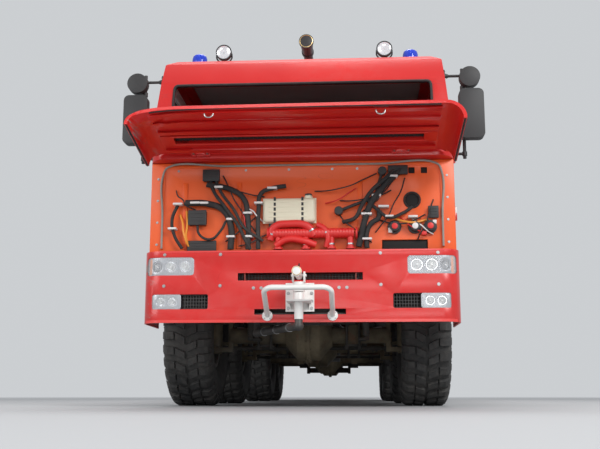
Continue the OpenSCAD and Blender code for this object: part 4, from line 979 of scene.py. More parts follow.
def tyre_mesh():
    """Casing, tread and the fine ribs of both side walls."""
    profile = CASING + [(-offset, radius) for offset, radius in reversed(CASING)]
    casing = mesh_of(spun(profile, 120), "casing")
    tread = TURNED.grow(tread_pitch(), "tyre", Count=PITCHES)
    rib = slab((0.200, 0.531, -0.003), (0.2095, 0.548, 0.003), 0.001, 1)
    ribs = TURNED.grow(rib, "tyre", Count=90)
    mesh = joined([casing, tread, ribs, mirrored(ribs)], "tyre")
    smooth(mesh, 28)
    return mesh


TYRE = tyre_mesh()
WHEELS = [(axle, side, e, station) for axle, station in enumerate(AXLES, 1)
          for side, e in SIDES]
for axle, side, e, station in WHEELS:
    mesh = moved(TYRE.copy(), at(e * WHEEL_X, station, HUB_Z))
    shaped(f"tread_{axle}_{side}", mesh, "tyre", f"wheel_{axle}_{side}",
           [f"tyre_{axle}_{side}"])
print("tyre faces:", len(TYRE.polygons))

# %% [markdown]
# ## Wheels
# Ten nuts hold each wheel. They are one hexagon on a stud, turned about the
# hub by the same rule, with a hub cap and its ring of small screws.

# %% Nuts, caps and valve
NUT_CIRCLE = 0.158


def wheel_fittings():
    """Nuts, hub cap and valve of a left wheel, about its own middle."""
    nut = joined([disc((0.0445, NUT_CIRCLE, 0), ACROSS, [(0, 0.019), (0.024, 0.017)], 6),
                  disc((0.068, NUT_CIRCLE, 0), ACROSS, [(0, 0.009), (0.016, 0.008)], 10)])
    screw = disc((0.1295, 0.076, 0), ACROSS, [(0, 0.007), (0.007, 0.006)], 6)
    nuts = TURNED.grow(nut, "steel", Count=10)
    screws = TURNED.grow(screw, "steel", Count=8, Start=0.2)
    cap = disc((0.1295, 0, 0), ACROSS, [(0, 0.052), (0.010, 0.050), (0.017, 0.038),
                                        (0.019, 0.0005)], 40)
    valve = tube([(0.046, 0.19, 0.02), (0.075, 0.20, 0.02), (0.10, 0.225, 0.02)], 0.006)
    mesh = joined([nuts, screws, cap, valve], "wheel fittings")
    smooth(mesh, 30)
    return mesh


NUTS = wheel_fittings()
for axle, side, e, station in WHEELS:
    mesh = NUTS.copy() if e > 0 else mirrored(NUTS)
    moved(mesh, at(e * WHEEL_X, station, HUB_Z))
    shaped(f"wheel_nuts_{axle}_{side}", mesh, "steel", f"wheel_{axle}_{side}")

# %% [markdown]
# ## Lamps in the bumper
# The bumper's face is flat in the middle and turns back round each corner, so
# anything set in it follows `face_s`, the station of the face at a place x.

# %% Curved lamp glasses, bowls and bulbs
BUMPER_X, BUMPER_CORNER = 1.235, 0.150
LAMP_X, LAMP_Z = (0.826, 1.205), (1.008, 1.150)
FOG_X, FOG_Z = (0.924, 1.153), (0.745, 0.860)
INDICATOR_X, INDICATOR_Z = (1.160, 1.198), (1.014, 1.144)


def face_s(x, inset=0.0):
    """The station of the bumper's face at a place across it."""
    past = abs(x) - (BUMPER_X - BUMPER_CORNER)
    if past <= 0:
        return inset
    radius = BUMPER_CORNER - inset
    return BUMPER_CORNER - math.sqrt(max(0.0, radius ** 2 - min(past, radius) ** 2))


def curved_plate(x, z, inset, thickness, corner=0.025, columns=26, rows=6):
    """A plate with rounded corners that follows the bumper's face."""
    form = bmesh.new()
    half, middle = (z[1] - z[0]) / 2, (z[0] + z[1]) / 2
    layers = []
    for depth in (inset, inset + thickness):
        grid = []
        for i in range(columns + 1):
            px = x[0] + (x[1] - x[0]) * i / columns
            near = min(px - x[0], x[1] - px)
            short = corner - math.sqrt(max(0.0, corner ** 2 - max(0.0, corner - near) ** 2))
            grid.append([form.verts.new(at(px, face_s(px, depth),
                                           middle + (half - short) * (2 * j / rows - 1)))
                         for j in range(rows + 1)])
        layers.append(grid)
    for grid in layers:
        for i in range(columns):
            for j in range(rows):
                form.faces.new((grid[i][j], grid[i + 1][j], grid[i + 1][j + 1], grid[i][j + 1]))
    front, back = layers
    border = ([(i, 0) for i in range(columns)] + [(columns, j) for j in range(rows)]
              + [(i, rows) for i in range(columns, 0, -1)] + [(0, j) for j in range(rows, 0, -1)])
    for (i, j), (k, m) in zip(border, border[1:] + border[:1]):
        form.faces.new((front[i][j], front[k][m], back[k][m], back[i][j]))
    return mesh_of(form, "plate")


def dish(place, along, profile, sides=32):
    """An open turned shell, such as a reflector."""
    form = bmesh.new()
    rings = turned(form, profile, sides)
    for one, two in zip(rings, rings[1:]):
        for i in range(sides):
            form.faces.new((one[i], two[i], two[(i + 1) % sides], one[(i + 1) % sides]))
    mesh = bpy.data.meshes.new("dish")
    form.to_mesh(mesh)
    form.free()
    return aimed(mesh, along, place)


def reflector(x, z, radius):
    """A lamp's bowl and bulb, just behind its glass."""
    s = face_s(x + 0.03, 0.010)
    bowl = dish(at(x, s + 0.002, z), ALONG, [
        (0.0, radius + 0.004), (0.0, radius), (0.012, radius * 0.93), (0.026, radius * 0.72),
        (0.036, radius * 0.42), (0.039, radius * 0.12)])
    bulb = disc(at(x, s + 0.006, z), ALONG, [(0.0, 0.004), (0.003, radius * 0.17),
                                             (0.030, radius * 0.17)], 16)
    return bowl, bulb


rolled("headlamps", "reflector", 0.001, name="lamp_housings")
lamps = [(LAMP_X[0] + p, 1.079, 0.040) for p in (0.072, 0.186, 0.296)]
lamps += [(FOG_X[0] + p, 0.8025, 0.031) for p in (0.070, 0.160)]
bowls, bulbs = zip(*[reflector(*lamp) for lamp in lamps])
add("lamp_bowls", both(list(bowls)), "chrome")
add("lamp_bulbs", both(list(bulbs)), "bulb")
lenses = [curved_plate(LAMP_X, LAMP_Z, 0.0012, 0.0024),
          curved_plate(FOG_X, FOG_Z, 0.0012, 0.0024, 0.015)]
flutes = [curved_plate((x, x + 0.004), (1.012, 1.146), 0.0036, 0.003, 0.001, 2, 2)
          for x in [0.84 + 0.018 * i for i in range(20)]]
add("lamp_lenses", both(lenses + flutes), "lens")
indicator = curved_plate(INDICATOR_X, INDICATOR_Z, 0.004, 0.004, 0.01, 8)
add("indicator_lenses", both([indicator]), "amber")
grilles = [curved_plate((x, x + 0.006), (0.748, 0.857), 0.020, 0.010, 0.001, 2, 2)
           for x in [0.716 + 0.022 * i for i in range(9)]]
grilles += [curved_plate((0.714, 0.920), (z, z + 0.005), 0.022, 0.006, 0.001, 8, 2)
            for z in [0.750 + 0.026 * i for i in range(5)]]
add("fog_slot_grilles", both(grilles), "plastic")

# %% [markdown]
# ## Bumper
# A folded lip runs along its lower edge, and screws hold it to its brackets.

# %% Lip, screws and slot mesh
def face_strip(z, inset, thickness):
    """A band along the bumper's face between two heights."""
    return curved_plate((-1.20, 1.20), z, inset, thickness, 0.001, 48, 2)


add("bumper_lip", [face_strip((0.6405, 0.662), -0.004, 0.004),
                   face_strip((1.186, 1.199), -0.0025, 0.0025)],
    "red edge")
screw_places = [at(x, face_s(x), z) for x in (-1.06, -0.62, 0.62, 1.06) for z in (0.925, 1.170)]
screw_places += [at(x, 0, 0.905) for x in (-0.36, -0.30, 0.30, 0.36)]
bolts("bumper_bolts", screw_places, AHEAD, 0.009)
mesh_bars = [tube([at(x, 0.030, 0.966), at(x, 0.030, 1.021)], 0.0022, 8)
             for x in [-0.475 + 0.025 * i for i in range(39)]]
mesh_bars += [tube([at(-0.482, 0.034, z), at(0.482, 0.034, z)], 0.0022, 8)
              for z in (0.980, 0.993, 1.007)]
add("bumper_slot_mesh", mesh_bars, "plastic")

# %% [markdown]
# ## Guard and bumper monitor
# The hoop stands on two bolted feet, and a bolted plate carries the shelf.

# %% Feet, plate bolts, gussets, the nozzle's mouth and hose clamps
feet = [p for x in (-0.25, 0.25) for p in circle(at(x, -0.014, 0.690), 0.031, 4, "xz", 0.785)]
bolts("guard_foot_bolts", feet, AHEAD, 0.005)
plate = [at(x, -0.012, z) for x in (-0.090, 0.090) for z in (0.745, 0.800, 0.860, 0.915)]
bolts("guard_plate_bolts", plate, AHEAD, 0.009)
gusset = bmesh.new()
for x in (-0.070, -0.064, 0.064, 0.070):
    gusset.faces.new([gusset.verts.new(at(x, s, z)) for s, z in
                      ((-0.012, 0.779), (-0.012, 0.735), (-0.072, 0.779))])
add("guard_gussets", mesh_of(gusset), "white")
muzzle = at(0, -0.150 - 0.260, 0.980)
lip = [dish(muzzle + Vector((0, -0.0005, 0)), ALONG, [
    (0.0, 0.0345), (-0.001, 0.030), (0.004, 0.026), (0.060, 0.018)]),
       dish(muzzle + Vector((0, 0.070, 0)), ALONG, [(0, 0.029), (0.004, 0.033), (0.012, 0.033),
                                                    (0.016, 0.029)])]
add("nozzle_lip", lip, "brass", "bumper_nozzle")
# A near-black cone closes the nozzle a little inside its mouth: painted shade down its throat.
add("nozzle_throat_shade", dish(muzzle, ALONG, [(0.030, 0.024), (0.066, 0.0165), (0.067, 0.0005)]),
    "black_and_painted_shade", "bumper_nozzle")
lever = tube([at(0.0, -0.14, 1.006), at(0.0, -0.13, 1.050), at(0.0, -0.10, 1.075)], 0.006)
add("nozzle_lever", lever, "plastic", "bumper_nozzle")
HOSE_RUN = Vector((-0.395, 0.750, 0))
clamps = [collar(at(0, -0.150, 0.600) + HOSE_RUN * (x / -HOSE_RUN.x), HOSE_RUN, 0.0302, 0.016)
          for x in (0.08, 0.20, 0.32)]
add("supply_clamps", clamps, "steel")

# %% [markdown]
# ## Behind the raised panel
# The orange wall carries a washer tank, red air ducts, hoses and looms. All of
# it stays between the wall and the shut panel, a space of ten centimetres.

# %% Tank, ducts and pipes
WALL_S = 0.165
HOSE_DEPTH = 0.042
TANK_CAP = at(0.06, 0.1225, 1.654)


def on_wall(points):
    """Places in front of the wall from (x, height) or (x, height, depth) rows."""
    return [at(p[0], WALL_S - (p[2] if len(p) > 2 else HOSE_DEPTH), p[1]) for p in points]


tank = [slab(at(-0.299, 0.0815, 1.436), at(0.119, 0.1645, 1.634), 0.030, 5),
        slab(at(-0.303, 0.1190, 1.4325), at(0.123, 0.1250, 1.6375), 0.0025, 1)]
tank += [slab(at(-0.255, 0.0785, z), at(0.055, 0.0840, z + 0.014), 0.0025)
         for z in (1.475, 1.515, 1.555, 1.595)]
tank.append(disc(at(0.06, 0.1225, 1.630), UP, [(0, 0.034), (0.017, 0.034), (0.017, 0.028),
                                               (0.026, 0.028)], 28))
add("washer_tank", tank, "tank", stands_for=["wall_fittings"])
cap = [disc(TANK_CAP, UP, [(0, 0.027), (0.014, 0.027), (0.017, 0.024), (0.017, 0.0005)], 28)]
cap += [slab(p - Vector((0.002, 0.002, 0.002)), p + Vector((0.002, 0.002, 0.014)), 0.0008, 1)
        for p in circle(TANK_CAP + Vector((0, 0, 0.001)), 0.0262, 18)]
straps = [slab(at(x, 0.0800, 1.4300), at(x + 0.018, 0.0825, 1.6400), 0.0008, 1)
          for x in (-0.215, 0.005)]
pump = [disc(at(-0.24, 0.140, 1.400), UP, [(0, 0.017), (0.036, 0.017)], 20)]
add("tank_cap_and_straps", cap + straps + pump, "plastic")

ducts = []
bellows = [(-0.253 + 0.012 * i, 0.038 + 0.004 * (i % 2)) for i in range(57)]
duct = disc((0, 0, 0), (1, 0, 0), [(0.0, 0.047), (0.014, 0.047)], 28)
ducts.append(moved(mesh_of(spun([(o, r) for o, r in bellows], 28, closed=False)),
                   at(0, WALL_S - 0.050, 1.350)))
for x in (-0.267, 0.432):
    ducts.append(moved(duct.copy(), at(x, WALL_S - 0.050, 1.350)))
for x in (-0.180, 0.040, 0.240, 0.390):
    ducts.append(disc(at(x, WALL_S - 0.050, 1.2225), UP, [
        (0, 0.037), (0.013, 0.037), (0.013, 0.026), (0.040, 0.024), (0.125, 0.024)], 24))
ducts += [tube(on_wall(row), radius, 16) for radius, row in (
    (0.030, [(-0.245, 1.300, 0.052), (-0.215, 1.395, 0.066), (-0.090, 1.425, 0.070),
             (0.060, 1.400, 0.070), (0.105, 1.330, 0.062)]),
    (0.028, [(-0.200, 1.250, 0.056), (-0.110, 1.300, 0.070), (0.010, 1.290, 0.072),
             (0.120, 1.255, 0.060)]),
    (0.022, [(0.130, 1.420, 0.050), (0.185, 1.385, 0.066), (0.215, 1.310, 0.070),
             (0.200, 1.240, 0.056)]))]
add("red_ducts", ducts, "red duct")
bands = [collar(p, d, r + 0.0006, 0.012, 0.002) for p, d, r in (
    (at(-0.230, WALL_S - 0.059, 1.345), (0.03, -0.014, 0.095), 0.030),
    (at(0.085, WALL_S - 0.067, 1.372), (0.045, 0.008, -0.07), 0.030),
    (at(0.200, WALL_S - 0.068, 1.350), (0.03, -0.004, -0.075), 0.022))]
bands += [collar(at(x, WALL_S - 0.050, 1.262), UP, 0.0251, 0.012, 0.002)
          for x in (0.040, 0.240, 0.390, -0.180)]
add("duct_bands", bands, "steel")

# %% [markdown]
# Hoses and looms are rows of (radius, places). A smooth curve runs through
# each row, and clips hold it to the wall.

# %% Hoses, looms and wires
HOSES = [
    (0.026, [(-0.560, 1.230), (-0.560, 1.420), (-0.620, 1.545), (-0.740, 1.600), (-0.930, 1.610)]),
    (0.022, [(-0.420, 1.230), (-0.425, 1.480), (-0.460, 1.640), (-0.560, 1.715), (-0.760, 1.760)]),
    (0.018, [(-0.340, 1.230), (-0.338, 1.560), (-0.320, 1.680), (-0.230, 1.722), (-0.120, 1.740)]),
    (0.020, [(0.520, 1.230), (0.522, 1.360), (0.560, 1.430), (0.615, 1.470), (0.620, 1.530)]),
    (0.024, [(0.800, 1.870, 0.030), (0.720, 1.790, 0.050), (0.640, 1.700, 0.058),
             (0.560, 1.590, 0.060), (0.500, 1.430, 0.055), (0.455, 1.240, 0.050)]),
    (0.016, [(0.760, 1.880, 0.026), (0.690, 1.800, 0.070), (0.560, 1.680, 0.075),
             (0.480, 1.560, 0.070), (0.430, 1.470, 0.060), (0.330, 1.440, 0.030)]),
    (0.013, [(0.884, 1.560, 0.020), (0.800, 1.500, 0.060), (0.700, 1.470, 0.060),
             (0.600, 1.540, 0.056), (0.520, 1.620, 0.050)]),
    (0.014, [(-0.740, 1.820, 0.030), (-0.700, 1.700, 0.060), (-0.600, 1.560, 0.072),
             (-0.500, 1.420, 0.072), (-0.440, 1.300, 0.064), (-0.400, 1.225, 0.050)]),
    (0.012, [(-0.700, 1.830, 0.028), (-0.640, 1.690, 0.064), (-0.530, 1.540, 0.076),
             (-0.450, 1.400, 0.076), (-0.300, 1.290, 0.060)]),
    (0.013, [(-0.990, 1.610, 0.028), (-1.035, 1.470, 0.045), (-1.010, 1.340, 0.048),
             (-0.950, 1.240, 0.040)]),
    (0.010, [(-0.830, 1.430, 0.040), (-0.810, 1.350, 0.056), (-0.720, 1.310, 0.056),
             (-0.640, 1.380, 0.050), (-0.600, 1.460, 0.040)]),
]
add("wall_hoses", [tube(on_wall(row), radius, 16) for radius, row in HOSES], "hose")

scatter = random.Random(7)


def wire(start, end, sag, depth):
    """A thin wire from wall to wall that hangs a little between."""
    rows = []
    for i in range(6):
        t = i / 5
        lift = 4 * t * (1 - t)
        rows.append((start[0] + (end[0] - start[0]) * t + scatter.uniform(-0.012, 0.012),
                     start[1] + (end[1] - start[1]) * t - sag * lift, 0.008 + depth * lift))
    return on_wall(rows)


runs = {
    "hose": [((0.80, 1.84), (0.46, 1.50), 0.02), ((0.84, 1.80), (0.60, 1.36), 0.05),
             ((0.72, 1.70), (0.30, 1.62), 0.04),
             ((0.98, 1.50), (0.62, 1.46), 0.06), ((1.06, 1.62), (0.92, 1.30), 0.03),
             ((-0.30, 1.66), (-0.72, 1.80), 0.03),
             ((-0.36, 1.50), (-0.60, 1.30), 0.02), ((-0.64, 1.84), (-0.36, 1.36), 0.02),
             ((-1.02, 1.72), (-0.86, 1.56), 0.03),
             ((-0.20, 1.40), (-0.50, 1.26), 0.03), ((0.30, 1.50), (0.56, 1.28), 0.02),
             ((0.10, 1.70), (0.60, 1.84), 0.05)],
    "cable": [((-0.930, 1.55), (-0.900, 1.24), 0.02), ((-0.965, 1.52), (-0.88, 1.235), 0.03),
              ((0.70, 1.50), (1.00, 1.46), 0.05)],
    "red duct": [((0.76, 1.50), (0.98, 1.36), 0.04), ((-0.52, 1.62), (-0.38, 1.30), 0.01),
                 ((0.20, 1.60), (0.44, 1.72), 0.03)],
    "clip": [((0.88, 1.47), (1.04, 1.34), 0.02), ((-0.44, 1.60), (-0.31, 1.45), 0.01)],
}
for finish, rows in runs.items():
    add("wires_" + finish.replace(" ", "_"),
        [tube(wire(start, end, sag, 0.05), 0.0052 if finish != "cable" else 0.0085, 8)
         for start, end, sag in rows], finish)

clip_rows = [(-0.990, 1.600), (-0.775, 1.605), (-1.030, 1.400), (-0.425, 1.520), (-0.420, 1.330),
             (-0.560, 1.330), (-0.660, 1.735), (-0.338, 1.600),
             (-0.230, 1.722), (0.735, 1.805), (0.600, 1.650),
             (0.520, 1.500), (0.522, 1.300), (0.700, 1.480),
             (0.884, 1.475), (0.655, 1.560), (-0.560, 1.470),
             (-0.850, 1.608)]
clips = []
for x, z in clip_rows:
    width = 0.034 + 0.010 * scatter.random()
    clips.append(slab(at(x - width, WALL_S - 0.072 - 0.010 * scatter.random(), z - 0.009),
                      at(x + width, WALL_S - 0.001, z + 0.009), 0.006, 3))
add("hose_clips", clips, "clip")

# %% [markdown]
# A bell crank joins two rods from the top left to the middle, and boxes,
# sockets and openings, made dark with painted shade, fill the rest of the wall.

# %% Linkage, boxes, sockets and openings
link = [tube(on_wall([(0.650, 1.850), (0.620, 1.745), (0.590, 1.640)]), 0.013, 12),
        tube(on_wall([(0.590, 1.640), (0.445, 1.585), (0.300, 1.530)]), 0.013, 12)]
for x, z in ((0.650, 1.850), (0.590, 1.640), (0.300, 1.530)):
    link.append(disc(at(x, WALL_S - 0.066, z), ALONG,
                     [(0, 0.030), (0.003, 0.034), (0.050, 0.034), (0.062, 0.026)], 28))
for x in (0.740, 0.900, 1.020):
    link.append(disc(at(x, WALL_S - 0.060, 1.400), ALONG, [
        (0, 0.026), (0.003, 0.038), (0.036, 0.040), (0.040, 0.054), (0.0595, 0.054)], 32))
boxes = [(-0.900, -0.760, 0.105, 1.430, 1.545), (0.700, 0.850, 0.112, 1.826, 1.892),
         (-0.905, -0.680, 0.128, 1.216, 1.300), (-0.790, -0.660, 0.110, 1.790, 1.880),
         (1.010, 1.085, 0.124, 1.470, 1.560)]
for left, right, front, low, high in boxes:
    link += [slab(at(left, front + 0.014, low), at(right, WALL_S - 0.001, high), 0.006, 3),
             slab(at(left - 0.004, front, low - 0.004),
                  at(right + 0.004, front + 0.013, high + 0.004), 0.005, 3)]
    link += [slab(at(left + 0.012, front - 0.0025, z),
                  at(right - 0.012, front + 0.002, z + 0.006), 0.001, 1)
             for z in [low + t * (high - low) for t in (0.25, 0.5, 0.75)]]
add("linkage_and_boxes", link, "plastic")
LID = [(0, 0.020), (0.002, 0.024), (0.010, 0.024)]
caps = [disc(at(x, WALL_S - 0.068, 1.400), ALONG, LID, 24) for x in (0.740, 1.020)]
caps.append(slab(at(0.950, 0.120, 1.330), at(0.990, 0.164, 1.362), 0.004))
add("socket_caps", caps, "red duct")
add("socket_lid", [disc(at(0.900, WALL_S - 0.068, 1.400), ALONG, LID, 24),
                   slab(at(0.690, 0.128, 1.352), at(0.722, 0.164, 1.392), 0.004),
                   slab(at(1.040, 0.130, 1.420), at(1.070, 0.164, 1.452), 0.004)], "clip")
# Near-black plates close the wall's openings just behind its face: painted shade in the holes.
opening_shades = [disc(at(0.884, WALL_S + 0.010, 1.620), ALONG, [(0, 0.0545), (0.012, 0.0545)], 36)]
opening_shades += [slab(at(x + 0.0005, WALL_S + 0.008, 1.8405), at(x + 0.0495, WALL_S + 0.020, 1.8895),
               0.002) for x in (0.860, 0.960)]
opening_shades.append(slab(at(0.642, WALL_S + 0.016, 1.2010), at(0.998, WALL_S + 0.030, 1.2990), 0.002))
add("wall_opening_shade", opening_shades, "black_and_painted_shade")
rim = dish(at(0.884, WALL_S - 0.007, 1.620), ALONG,
           [(0.0065, 0.070), (0.0, 0.067), (0.0, 0.057), (0.016, 0.054)], 40)
add("wall_hole_rim", rim, "gasket")
half = [(-1.120, 1.245), (-1.120, 1.500), (-1.120, 1.860), (-1.085, 1.914), (-0.600, 1.917)]
outline = half + [(0.0, 1.918)] + [(-x, z) for x, z in reversed(half)]
add("panel_seal", tube([at(x, WALL_S - 0.020, z) for x, z in outline], 0.0085, 12), "seal")
edge = [at(x, WALL_S, z) for x in (-1.165, 1.165) for z in (1.28, 1.46, 1.64, 1.82)]
edge += [at(x, WALL_S, 1.885) for x in (-1.0, -0.45, -0.1, 0.25, 0.45)]
bolts("wall_screws", edge, AHEAD, 0.007)

# %% [markdown]
# ## Raised front panel
# The panel's pieces are easiest to place with the panel shut, as a fitter
# would measure them. `raised` then turns them up about the hinge line with it.

# %% Hinge line and a turn about it
HINGE = at(0, 0.040, 1.985)
RAISE = (Matrix.Translation(HINGE) @ Matrix.Rotation(math.radians(-100), 4, "X")
         @ Matrix.Translation(-HINGE))


def dent(place):
    """How the buckled lower corner moves a place of the shut panel."""
    x, depth, z = place.x, place.y - BUMPER_Y - 0.030, place.z
    bowl = math.exp(-((x + 1.130) / 0.100) ** 2 - ((z - 1.300) / 0.085) ** 2)
    sag = math.exp(-((x + 1.200) / 0.380) ** 2 - ((z - 1.240) / 0.300) ** 2)
    crease = math.exp(-((x + 1.040) / 0.130) ** 2 - ((z - 1.360) / 0.100) ** 2)
    push = 0.036 * bowl + 0.020 * sag + 0.006 * crease * math.sin(46 * (x + 0.7 * z))
    push *= 1 - min(1.0, max(0.0, depth / 0.118))
    return Vector((0, push, 0.2 * push))


def raised(meshes):
    """Meshes made on the shut panel, dented with it and turned up."""
    for mesh in meshes:
        for vert in mesh.vertices:
            vert.co += dent(vert.co)
        mesh.transform(RAISE)
    return meshes


def turned_up(direction):
    """A direction on the shut panel, turned up with it."""
    return RAISE.to_3x3() @ Vector(direction)


# %% The panel with its buckled corner
def buckle(skin):
    """Cuts a fine grid round the dented corner and pushes it in, inside the solid's box."""
    skin.transform(RAISE.inverted())
    cuts = [(Vector((-1.205 + 0.022 * i, 0, 0)), ACROSS) for i in range(17)]
    cuts += [(Vector((0, 0, 1.236 + 0.022 * i)), UP) for i in range(14)]
    for place, normal in cuts:
        near = [f for f in skin.faces if any(v.co.x < -0.4 for v in f.verts)]
        geometry = {e for f in near for e in f.edges} | {v for f in near
                                                         for v in f.verts} | set(near)
        bmesh.ops.bisect_plane(skin, geom=list(geometry), plane_co=place,
                               plane_no=normal, dist=1e-6)
    for vert in skin.verts:
        vert.co += dent(vert.co)
    skin.transform(RAISE)
    for vert in skin.verts:
        vert.co.y = max(vert.co.y, FRONT + 1e-4)


rolled("hood_panel", "red", 0.006, reshape=buckle)

# %% Edge rubber, slot mesh, strikers and hinge bolts
def upright(x_low, x_high, z_low, z_high):
    """The corners of an upright rectangle across the truck."""
    return [(x_low, 0, z_low), (x_high, 0, z_low), (x_high, 0, z_high), (x_low, 0, z_high)]


def rounded_loop(corners, radius=0.05):
    """Points round a flat loop with its corners cut to arcs."""
    points, steps = [], 5
    for i, corner in enumerate(corners):
        corner = Vector(corner)
        before = (Vector(corners[i - 1]) - corner).normalized() * radius
        after = (Vector(corners[(i + 1) % len(corners)]) - corner).normalized() * radius
        for k in range(steps + 1):
            t = k / steps
            points.append(corner + before * (1 - t) ** 2 + after * t ** 2)
        points.append((corner + Vector(corners[(i + 1) % len(corners)])) / 2)
    return points


edges = [tube([at(x, 0.150, z) for z in (1.232, 1.45, 1.70, 1.934)], 0.0075, 8)
         for x in (-1.2125, 1.2125)]
edges.append(tube([at(x, 0.034, 1.2245) for x in [0.15 * i for i in range(-7, 8)]], 0.006, 8))
add("hood_edge_rubber", raised(edges), "gasket", "hood")
# A black sheet fills the slot behind its bars: painted shade in the slot; the bars and rails are
# the real mesh.
slot_shade_and_bars = [slab(at(-0.9595, 0.0135, 1.6705), at(0.9595, 0.0155, 1.7695), 0.0005, 1)]
bar = slab(at(-0.955, 0.0155, 1.672), at(-0.950, 0.0225, 1.768), 0.0008, 1)
slot_shade_and_bars.append(STEPPED.grow(bar, "plastic", Count=61, Step=(0.0317, 0, 0)))
slot_shade_and_bars += [slab(at(-0.958, 0.0155, z), at(0.958, 0.0200, z + 0.004), 0.0008, 1)
          for z in (1.692, 1.718, 1.744)]
add("hood_slot_mesh_and_shade", raised(slot_shade_and_bars), "plastic", "hood")
strip = [slab(at(-0.985, 0.0405, z), at(0.985, 0.0440, z + 0.010), 0.0015, 2)
         for z in (1.646, 1.784)]
add("hood_slot_trim", raised(strip), "red edge", "hood")
STRIKER = [(-0.03, 0.029), (-0.03, 0.066), (-0.018, 0.080), (0.018, 0.080), (0.03, 0.066),
           (0.03, 0.029)]
strikers = [tube([at(x + d, s, 1.262) for d, s in STRIKER], 0.0055, 8) for x in (-0.62, 0.62)]
strikers += [slab(at(x - 0.055, 0.0295, 1.244), at(x + 0.055, 0.0325, 1.280), 0.002)
             for x in (-0.62, 0.62)]
add("hood_strikers", raised(strikers), "steel", "hood")
leaf = [RAISE @ at(x + e * 0.055, 0.0405, z) for x in (-0.8, 0.8) for e in (-1, 1)
        for z in (1.948, 1.966)]
bolts("hood_hinge_bolts", leaf, turned_up(ALONG), 0.0055, body="hood")
welds = [at(x, 0.0305, z) for z in (1.345, 1.500, 1.850)
         for x in [-1.0 + 0.25 * i for i in range(9)]]
bolts("hood_spot_welds", [RAISE @ (p + dent(p)) for p in welds], turned_up(ALONG), 0.0035,
      "red", 0.0012, "hood")

# %% [markdown]
# ## Windows, windshield opening and mirrors
# The windshield is out of its opening and the black rubber that held it is
# still there. Each door window sits in a rubber frame of its own.

# %% Rubber frames
def skin_x(z):
    """The cab's side at a height: upright to the belt, then leaning in."""
    return CAB_X - 0.055 * max(0.0, z - 2.05) / 0.81


def shield_s(z):
    """The station of the leaning windshield frame at a height."""
    return 0.060 + 0.180 * (z - 2.010) / 0.670


opening = rounded_loop(upright(-1.065, 1.065, 2.070, 2.640), 0.04)
frame_points = [at(p.x, shield_s(p.z) - 0.003, p.z) for p in opening]
add("windshield_rubber", tube(frame_points, 0.011, 8, cyclic=True), "gasket")
ledge = [tube([p + Vector((0, 0.028, -0.004)) for p in frame_points], 0.006, 8, cyclic=True)]
add("windshield_sealant", ledge, "black_and_painted_shade")
WINDOWS = {"front": [(0.450, 2.080), (1.310, 2.080), (1.310, 2.680), (0.560, 2.680)],
           "crew": [(2.020, 2.080), (2.740, 2.080), (2.740, 2.680), (2.020, 2.680)]}
HANDLES = {"front": 1.400, "crew": 2.830}
for door, outline in WINDOWS.items():
    loop = rounded_loop([(0, s, z) for s, z in outline], 0.05)
    for side, e in SIDES:
        body = f"{door}_door_{side}"
        rubber_frame = tube([at(e * (skin_x(p.z) - 0.001), p.y, p.z) for p in loop], 0.009,
                            8, cyclic=True)
        add(f"window_rubber_{door}_{side}", rubber_frame, "gasket", body)
        s = HANDLES[door]
        grip = [slab(at(e * 1.2375, s - 0.194, 1.7465),
                     at(e * 1.2565, s - 0.056, 1.7775), 0.007, 3)]
        grip += [slab(at(e * 1.224, a, 1.7465), at(e * 1.245, b, 1.7775), 0.004)
                 for a, b in ((s - 0.194, s - 0.166), (s - 0.084, s - 0.056))]
        grip.append(disc(at(e * 1.2245, s - 0.125, 1.700), (e, 0, 0),
                         [(0, 0.020), (0.006, 0.019), (0.008, 0.0005)], 24))
        add(f"door_handle_{door}_{side}", grip, "plastic", body)

# %% Mirror glasses, clamps and brackets
glass_pair = [slab(at(1.303, 0.2905, 2.158), at(1.477, 0.2945, 2.542), 0.0018, 2),
              disc(at(1.385, 0.2905, 2.670), ALONG, [(0, 0.074), (0.004, 0.074)], 40)]
add("mirror_glasses", both(glass_pair), "chrome")
around = rounded_loop(upright(1.296, 1.484, 2.146, 2.554), 0.04)
holders = [tube([at(p.x, 0.293, p.z) for p in around], 0.004, 8, cyclic=True),
           hoop(at(1.385, 0.290, 2.670), ALONG, [(-0.006, 0.073), (0.006, 0.073), (0.006, 0.0845),
                                                 (-0.006, 0.0845)])]
holders += [collar(at(1.330, 0.300, z), UP, 0.0142, 0.034, 0.006)
            for z in (2.030, 2.200, 2.480, 2.590, 2.700)]
holders += [slab(at(1.318, 0.268, z - 0.018), at(1.342, 0.297, z + 0.018), 0.004)
            for z in (2.220, 2.460, 2.670)]
for z in (2.030, 2.700):
    x = skin_x(z)
    holders.append(slab(at(x - 0.004, 0.262, z - 0.045), at(x + 0.006, 0.338, z + 0.045), 0.004))
    holders.append(disc(at(x + 0.004, 0.300, z), ACROSS,
                        [(0, 0.024), (0.010, 0.022), (0.030, 0.015)], 20))
add("mirror_holders", both(holders), "plastic")
for side, e in SIDES:
    places = [at(e * (skin_x(z) + 0.006), s, z + d) for z in (2.030, 2.700)
              for s in (0.275, 0.325) for d in (-0.032, 0.032)]
    bolts(f"mirror_bolts_{side}", places, (e, 0, 0), 0.006)

# %% [markdown]
# ## Lamps and monitor on the roof
# A beacon is a clear blue dome over a turning reflector; a floodlight is a
# round shell in a fork. Both are seen from below, against the light.

